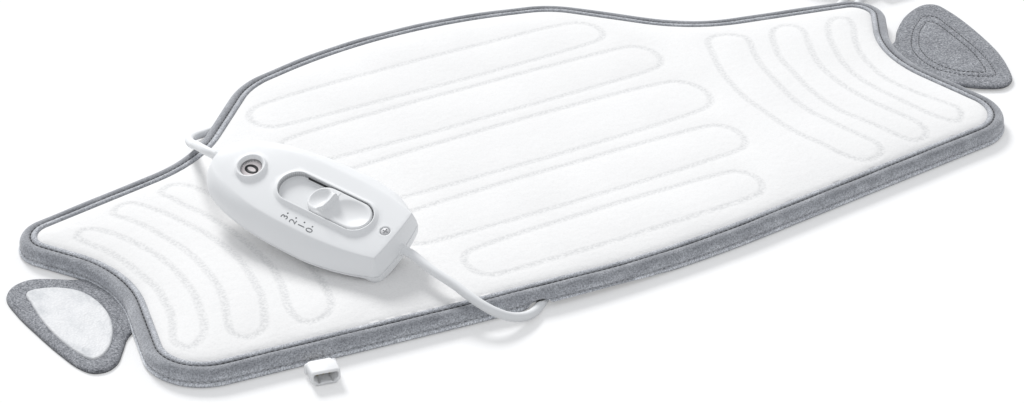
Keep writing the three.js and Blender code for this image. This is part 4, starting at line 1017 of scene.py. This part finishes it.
def stadium_line(mid, long, wide, grow, step):
    r, reach = wide / 2 + grow, (long - wide) / 2
    turn = np.linspace(-pi / 2, pi / 2, max(8, int(pi * r / step)))
    side = np.linspace(-reach, reach, max(4, int(2 * reach / step)))
    east = np.column_stack([mid + reach + r * np.cos(turn), r * np.sin(turn)])
    north = np.column_stack([mid + side[::-1], np.full(len(side), r)])[1:-1]
    west = np.column_stack([mid - reach - r * np.cos(turn), -r * np.sin(turn)])
    south = np.column_stack([mid + side, np.full(len(side), -r)])[1:-1]
    return np.vstack([east, north, west, south])


def circle_line(x, radius, step):
    a = turns(max(12, int(2 * pi * radius / step)))
    return np.column_stack([x + radius * np.cos(a), radius * np.sin(a)])


# Slot: floor, wall and rounded lip; outside the lip a flank that falls to the deck
LIP_AT = [-1.2, -0.45, -0.2, -0.06, 0.0, 0.1, 0.25, 0.5]
LIP_Z = [SLOT_FLOOR, SLOT_FLOOR, SLOT_FLOOR + 0.2, SLOT_FLOOR + 0.8,
         RIM_TOP - 0.35, RIM_TOP - 0.1, RIM_TOP, RIM_TOP]
FLANK_AT, FLANK = [0.5, 0.7, 0.95, 2.35, 2.7, 3.0], [1, 0.985, 0.9, 0.16, 0.03, 0]
RING_AT = [5.8, 5.92, 5.96, 6.1, 7.1, 7.4, 7.65, 8.0]
RING_Z = [-2.9, -2.7, -0.45, -0.2, 1.5, 1.8, COLLAR, COLLAR]
FOOT_AT, FOOT = [8.0, 8.2, 8.45, 9.1, 9.35, 9.6], [1, 0.97, 0.85, 0.14, 0.03, 0]
SEAT_AT, SEAT_Z = [2.5, 2.62, 2.74, 2.9, 3.3, 3.8], [-1.9, -1.4, -0.3, -0.04, 0.06, 0.0]


def deck_shape(plan):
    x, y = plan[:, 0], plan[:, 1]
    plain = deck(x, y)
    far = stadium_far(x, y, SLOT_X, SLOT_LONG, SLOT_WIDE)
    share = np.interp(far, FLANK_AT, FLANK)
    z = np.where(far < FLANK_AT[0], np.interp(far, LIP_AT, LIP_Z), plain + (RIM_TOP - plain) * share)
    rr = np.hypot(x - RING_X, y)
    tilt = -(x - RING_X) * 2 * NOSE_BEND * (BEND_FROM - RING_X)
    level = float(bend(RING_X)) + CROWN + tilt
    share = np.interp(rr, FOOT_AT, FOOT)
    foot = plain + (level + COLLAR - plain) * share
    ring_z = np.where(rr < FOOT_AT[0], level + np.interp(rr, RING_AT, RING_Z), foot)
    z = np.where(rr < FOOT_AT[-1], ring_z, z)
    sr = np.hypot(x - SCREW_X, y)
    return z + np.where(sr < SEAT_AT[-1], np.interp(sr, SEAT_AT, SEAT_Z), 0)


deck_edge = deck_loop - 0.55 * outwards(deck_loop)
deck_rows = [stadium_line(SLOT_X, SLOT_LONG, SLOT_WIDE, g, 1.1) for g in LIP_AT + FLANK_AT[1:]]
deck_rows += [circle_line(RING_X, r, 0.9) for r in RING_AT + FOOT_AT[1:]]
deck_rows += [circle_line(SCREW_X, r, 0.7) for r in SEAT_AT]
deck_plan, deck_faces = fill(deck_edge, deck_rows, step=2.6, clear=1.0)
deck_z = deck_shape(deck_plan)
part_z, deck_high = bend(part_loop[:, 0]) - PART_DROP, deck(deck_loop[:, 0], deck_loop[:, 1])
rounding = np.clip(0.25 + 0.75 * (-14 - part_loop[:, 0]) / 36, 0.25, 1)
rounding = np.where(near_tail > 0.97, 0.12, rounding)
part_out = outwards(part_loop)
rings = []
for t in (0.985, 0.94, 0.86, 0.75, 0.62, 0.48, 0.34, 0.2, 0.1, 0.04):
    turn = t * pi / 2
    out = (1 - t) * (1 - rounding) + cos(turn) * rounding
    up = t * (1 - rounding) + sin(turn) * rounding
    plan = deck_loop + (part_loop - deck_loop) * out[:, None]
    rings.append(raised(plan, part_z + (deck_high - part_z) * up))
LIP_DOWN = [(0.02, 0.2), (0.12, 0.0), (0.9, 0.0)]
LIP_UP = [(0.9, SEAM_OPEN), (0.9, 0.0), (0.12, 0.0), (0.0, -0.2)]
rings += [raised(part_loop - part_out * d, part_z + z) for d, z in LIP_DOWN]
top_points = np.vstack([raised(deck_plan, deck_z)] + rings)
top_faces = [tuple(f) for f in deck_faces] + collar(line, len(deck_plan))
top_faces += bands(len(rings), line, len(deck_plan), inside=True)
top_shell = make("top_half", held(top_points), top_faces, plastic)
# Painted shade on the slot's inner wall, full on the wall and fading over its lip
wall_far = stadium_far(deck_plan[:, 0], deck_plan[:, 1], SLOT_X, SLOT_LONG, SLOT_WIDE)
slot_wall_shade = np.zeros(len(top_points))
slot_wall_shade[:len(deck_plan)] = np.interp(wall_far, [-0.3, -0.2, -0.06, 0.0, 0.1], [0, 1, 1, 0.6, 0])
tag(top_shell, "painted_wall_shade", slot_wall_shade)

gap_z = part_z - SEAM_OPEN
spine = np.column_stack([np.clip(part_loop[:, 0] * 0.93, -50, 58), np.zeros(line)])
bowl = [raised(part_loop - part_out * d, gap_z + z) for d, z in LIP_UP]
for share_y, share_z in ((0.995, 0.1), (0.985, 0.2), (0.965, 0.3), (0.93, 0.42), (0.885, 0.55), (0.83, 0.66),
                         (0.75, 0.77), (0.64, 0.87), (0.52, 0.93), (0.35, 0.975), (0.18, 0.995)):
    plan = spine + (part_loop - spine) * (share_y ** (1 - 0.72 * easing(near_tail, 0.8, 1)))[:, None]
    low = bend(plan[:, 0]) - table(BELLY, plan[:, 0])
    bowl.append(raised(plan, gap_z + (low - gap_z) * share_z))
floor_plan, floor_faces = fill(bowl[-1][:, :2], [], step=4.0, clear=1.5)
floor_z = np.concatenate([bowl[-1][:, 2], bend(floor_plan[line:, 0]) - table(BELLY, floor_plan[line:, 0])])
low_points = np.vstack(bowl[:-1] + [raised(floor_plan, floor_z)])
low_faces = bands(len(bowl), line, inside=True)
low_faces += [tuple((len(bowl) - 1) * line + v for v in f[::-1]) for f in floor_faces]
low_shell = make("bottom_half", held(low_points), low_faces, plastic_low)
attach(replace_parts(top_shell, "upper_shell"), "pad")
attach(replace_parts(low_shell, "lower_shell"), "pad")
# A black strip along the slot's far wall at its floor: painted shade for the narrow gap there
slit = np.array([(x, y, SLOT_FLOOR + z) for x in np.linspace(-2.5, 11, 10)
                 for y, z in ((9.88, 0.05), (9.84, 1.0), (9.3, 0.09), (9.2, 0.02))])
slit_faces = bands(10, 4, inside=True) + [(0, 1, 2, 3), (39, 38, 37, 36)]
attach(outward(make("slot_gap", held(slit), slit_faces, black)), "pad")

# Strain relief round the cord where it leaves the tail
SLEEVE = [(3.3, 60.5), (3.3, 64.9), (3.25, 66.2), (3.05, 66.5), (2.75, 66.55)]
sleeve_points, sleeve_faces = spun(SLEEVE, 0, 28)
sleeve_points = sleeve_points[:, [2, 0, 1]] + [0, 0, tail_z]
sleeve = outward(make("tail_sleeve", held(sleeve_points), sleeve_faces, plastic_low))
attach(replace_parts(sleeve, "tail_grommet"), "pad")

# Coupling socket on the front edge: a moulded mouth with chamfered lower corners and a stepped collar
SOCKET_AT, SOCKET_YAW, SOCKET_W, SOCKET_H = (-200.4, -157.4, 0.3), radians(-11), 7.7, 8.6


def mouth_ring(y, less, cut, soft, lift=0.0, sag=0.0, step=0.0):
    """One socket section: its depth, how much smaller, its corners' sizes, the lift of its floor, the drop
    of its top and the step in its floor."""
    w, low, high = SOCKET_W - less, max(less, -0.25) + lift, SOCKET_H - less - sag
    corners = [(-w, low + cut, -w + cut, low), (w - cut, low, w, low + cut), (w, high - soft, w - soft, high),
               (-w + soft, high, -w, high - soft)]
    points = []
    for k, (x0, z0, x1, z1) in enumerate(corners):
        px, pz = (w if k in (1, 2) else -w), (low if k < 2 else high)
        bow = 0.05 if k < 2 else 0.58
        for t in (0, 0.2, 0.4, 0.6, 0.8, 1):
            pull = bow * 4 * t * (1 - t) * 0.5
            x, z = x0 + (x1 - x0) * t, z0 + (z1 - z0) * t
            points.append((x + (px - x) * pull, y, z + (pz - z) * pull))
        if k == 0:
            half = w - cut
            points += [(-half + 0.7, y, low), (-half + 1.2, y, low + step),
                       (half - 1.2, y, low + step), (half - 0.7, y, low)]
    return points


socket_rings = [mouth_ring(8.0, 1.2, 2.0, 1.2, 0.3, 0.6), mouth_ring(6.5, 0.9, 2.0, 1.2, 0, 0.6)]
socket_rings += [mouth_ring(y, less, 2.2, 1.3, 0, sag) for y, less, sag in (
    (6.3, -0.5, 2.0), (6.1, -0.75, 2.1), (5.2, -0.75, 2.0), (5.0, -0.5, 1.7), (4.8, 0.25, 0.9),
    (4.2, 0.25, 0.8), (4.0, -0.1, 0.9), (3.7, 0.0, 0.6), (2.6, 0.0, 0.2), (1.0, 0.0, 0.0), (-4.4, 0.05, 0),
    (-5.0, 0.14, 0), (-5.25, 0.4, 0))]
outer_rings = len(socket_rings)
socket_rings += [mouth_ring(y, less, cut, 0.9, 0.1, sag, step) for y, less, cut, sag, step in (
    (-5.3, 0.75, 2.3, 0.1, 0.2), (-5.25, 1.15, 2.4, 0.35, 0.6), (-5.0, 1.3, 2.5, 0.4, 0.7),
    (-4.2, 1.4, 2.6, 0.4, 0.7), (2.6, 1.62, 2.6, 0.2, 0.7))]
socket_points = np.array([p for one in socket_rings for p in one])
turn_x, turn_y = cos(SOCKET_YAW), sin(SOCKET_YAW)
socket_points = np.column_stack([
    SOCKET_AT[0] + turn_x * socket_points[:, 0] - turn_y * socket_points[:, 1],
    SOCKET_AT[1] + turn_y * socket_points[:, 0] + turn_x * socket_points[:, 1],
    SOCKET_AT[2] + socket_points[:, 2]])
span = len(socket_rings[0])
socket = outward(make("socket_mouth", socket_points, capped(len(socket_rings), span), nylon))
# Painted shade inside the socket's mouth, past its outer collar
tag(socket, "painted_wall_shade", np.repeat(np.arange(len(socket_rings)) > outer_rings + 1, span))
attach(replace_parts(socket, "socket_shell", "socket_tail"), "pad")

# Window disc with its mark
LENS_Z = -1.55


def at_ring(points):
    p = np.asarray(points, float)
    tilt = -(p[:, 0] - RING_X) * 2 * NOSE_BEND * (BEND_FROM - RING_X)
    return np.column_stack([p[:, :2], p[:, 2] + float(bend(RING_X)) + CROWN + tilt])


LENS = [(5.88, -2.3), (5.88, -1.9), (5.6, LENS_Z - 0.2), (4.8, LENS_Z - 0.06), (3.2, LENS_Z),
        (1.2, LENS_Z + 0.03)]
lens_points, lens_faces = spun(LENS, RING_X, 48)
lens = outward(make("window_disc", held(at_ring(lens_points)), lens_faces, window))
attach(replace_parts(lens, "indicator_lens"), "pad")
# A dark grey ring of painted shade lines the window's bore below its bevel
wall_points, wall_faces = spun([(6.06, -0.2), (5.94, -0.45), (5.93, -1.2), (5.93, -2.4)], RING_X, 64)
painted_wall_shade = make("window_bore_shade", held(at_ring(wall_points)), wall_faces[:-2], shade)
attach(painted_wall_shade, "pad")
MARK = [(4.3, 3.1, -0.1), (4.2, 3.0, 0.1), (2.8, 1.4, 0.12), (2.7, 1.3, 0.0)]
mark = [(RING_X + wide * cos(a), tall * sin(a), LENS_Z + z)
        for a in turns(40) for wide, tall, z in MARK]
mark_faces = [(i + k, j + k, j + k + 1, i + k + 1)
              for i, j in zip(range(0, 160, 4), [*range(4, 160, 4), 0]) for k in range(3)]
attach(outward(make("window_mark", held(at_ring(mark)), mark_faces, ink)), "pad")

# Slide button with a round dish, a wedge rib and a long dish
KEY_MID, KEY_LONG, KEY_WIDE, RIB_X, KEY_TOP, KEY_ROUND = 26.1, 39.0, 18.8, 20.6, 2.2, 0.9
BOWL_X, BOWL_R, BOWL_DEEP, BRIM_R = 13.2, 6.6, 1.9, 7.2
DISH_X, DISH_LONG, DISH_WIDE, DISH_DEEP = 33.4, 11.4, 8.0, 1.8
key_edge = stadium_line(KEY_MID, KEY_LONG, KEY_WIDE, 0, 0.9)
key_rows = [stadium_line(KEY_MID, KEY_LONG, KEY_WIDE, -g, 0.9) for g in (0.15, 0.4, 0.75, 1.2, 1.8)]
crest_y = np.linspace(-7.8, 7.8, 40)
RIB_AT, RIB_Z = [-4.8, -1.7, -0.45, 0.4, 0.75, 1.3], [0, 2.1, 3.5, 3.5, 0.2, 0]


def crest(y):
    return RIB_X - 0.2 - 0.05 * np.minimum(y + 2, 0) ** 2


key_rows += [np.column_stack([crest(crest_y) + o, crest_y])
             for o in (-4.8, -3.6, -2.6, -1.7, -1.1, -0.45, 0, 0.4, 0.57, 0.75, 1.0, 1.3)]
key_plan, key_faces = fill(key_edge, key_rows, step=0.95, clear=0.5)


def key_shape(plan):
    x, y = plan[:, 0], plan[:, 1]
    inward = -stadium_far(x, y, KEY_MID, KEY_LONG, KEY_WIDE)
    t = np.clip(inward / KEY_ROUND, 0, 1)
    z = KEY_TOP - KEY_ROUND + KEY_ROUND * np.sqrt(1 - (1 - t) ** 2)
    bowl_r = np.hypot(x - BOWL_X, y)
    brim = 0.5 * np.exp(-((bowl_r - BRIM_R) / 1.0) ** 2) * easing(inward, 0.3, 1.6)
    z = z - BOWL_DEEP * np.clip(1 - (bowl_r / BOWL_R) ** 2.4, 0, 1) + brim
    dish_r = np.hypot((x - DISH_X) / DISH_LONG, y / DISH_WIDE)
    z = z - DISH_DEEP * np.clip(1 - dish_r ** 2.4, 0, 1)
    wedge = np.interp(x - crest(y), RIB_AT, RIB_Z)
    return z + wedge * (1 - 0.95 * easing(np.abs(y + 0.5), 5.4, 6.6))


key_z = key_shape(key_plan)
border, number = len(key_edge), len(key_plan)
key_points = np.vstack([raised(key_plan, key_z), raised(key_edge, SLOT_FLOOR + 0.3)])
key_whole = [tuple(f) for f in key_faces] + collar(border, number)
key_whole.append(tuple(range(number + border - 1, number - 1, -1)))
key = outward(make("slider", held(key_points), key_whole, plastic_key))
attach(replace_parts(key, "slide_button"), "slide")


# Plain setting numbers beside the slot, with a dot each
def glyph(name, text, x, y, size, mat):
    font = bpy.data.curves.new(name, "FONT")
    font.body = text
    font.size = size
    font.align_x = "CENTER"
    font.align_y = "CENTER"
    font.extrude = 0.02
    temp = bpy.data.objects.new(name + "_temp", font)
    scene.collection.objects.link(temp)
    bpy.context.view_layer.update()
    mesh = bpy.data.meshes.new_from_object(temp.evaluated_get(bpy.context.evaluated_depsgraph_get()))
    bpy.data.objects.remove(temp)
    flat_points = np.array([v.co for v in mesh.vertices])
    faces = [tuple(p.vertices) for p in mesh.polygons]
    bpy.data.meshes.remove(mesh)
    px, py = x - flat_points[:, 1], y + flat_points[:, 0]
    pz = deck_shape(np.column_stack([px, py])) + 0.06 + flat_points[:, 2]
    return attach(make(name, held(np.column_stack([px, py, pz])), faces, mat, False), "pad")


for text, x, y in (("3", 2.7, -18.6), ("2", 8.6, -19), ("1", 14.4, -19.2), ("0", 19.9, -19.4)):
    glyph("number_" + text, text, x, y, 6.0, label)
    dot_points, dot_faces = spun([(0.5, -0.05), (0.5, 0.05), (0.36, 0.09)], 0, 14)
    dot = dot_points + [x, y + 2.7, 0]
    dot[:, 2] += deck_shape(dot[:, :2])
    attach(outward(make("number_dot_" + text, held(dot), dot_faces, label)), "pad")


# Floor, light and view
def floor_look(tree, shader):
    cloud = noise(coordinates(tree), 3, 2)
    paint(shader, ramp(cloud, [(0.3, (0.63, 0.63, 0.635)), (0.7, (0.65, 0.65, 0.65))]))
    path = node(tree, "ShaderNodeLightPath")
    seen = sums("MAXIMUM", path.outputs["Is Camera Ray"], path.outputs["Is Glossy Ray"])
    seen = sums("MAXIMUM", seen, path.outputs["Is Transmission Ray"])
    glow = node(tree, "ShaderNodeEmission", Strength=1.0)
    glow.inputs["Color"].default_value = (0.34, 0.34, 0.34, 1)
    both = node(tree, "ShaderNodeAddShader")
    pick = node(tree, "ShaderNodeMixShader")
    feed(both, {0: shader.outputs["BSDF"], 1: glow.outputs["Emission"]})
    feed(pick, {0: seen, 1: shader.outputs["BSDF"], 2: both.outputs["Shader"]})
    feed(tree.nodes["Material Output"], {"Surface": pick.outputs["Shader"]})


floor_paint = material("studio_floor", (0.9, 0.9, 0.9), 0.9, floor_look, specular=0.1)
FLOOR_HALF = 9000
floor_points = [(x * FLOOR_HALF, y * FLOOR_HALF, 0) for x, y in ((-1, -1), (1, -1), (1, 1), (-1, 1))]
floor = make("floor", floor_points, [(0, 1, 2, 3)], floor_paint, False)

SUN_DOWN = Vector((-0.1, -0.78, -0.615))
sun = bpy.data.lights.new("key", "SUN")
sun.energy = 2.35
sun.angle = radians(17)
key_lamp = bpy.data.objects.new("key", sun)
key_lamp.rotation_euler = SUN_DOWN.to_track_quat("-Z", "Y").to_euler()
scene.collection.objects.link(key_lamp)
world = bpy.data.worlds.new("studio")
world.use_nodes = True
world.node_tree.nodes["Background"].inputs["Color"].default_value = (0.95, 0.97, 1.0, 1)
world.node_tree.nodes["Background"].inputs["Strength"].default_value = 0.64
scene.world = world
scene.view_settings.view_transform = "Standard"

bpy.context.view_layer.update()
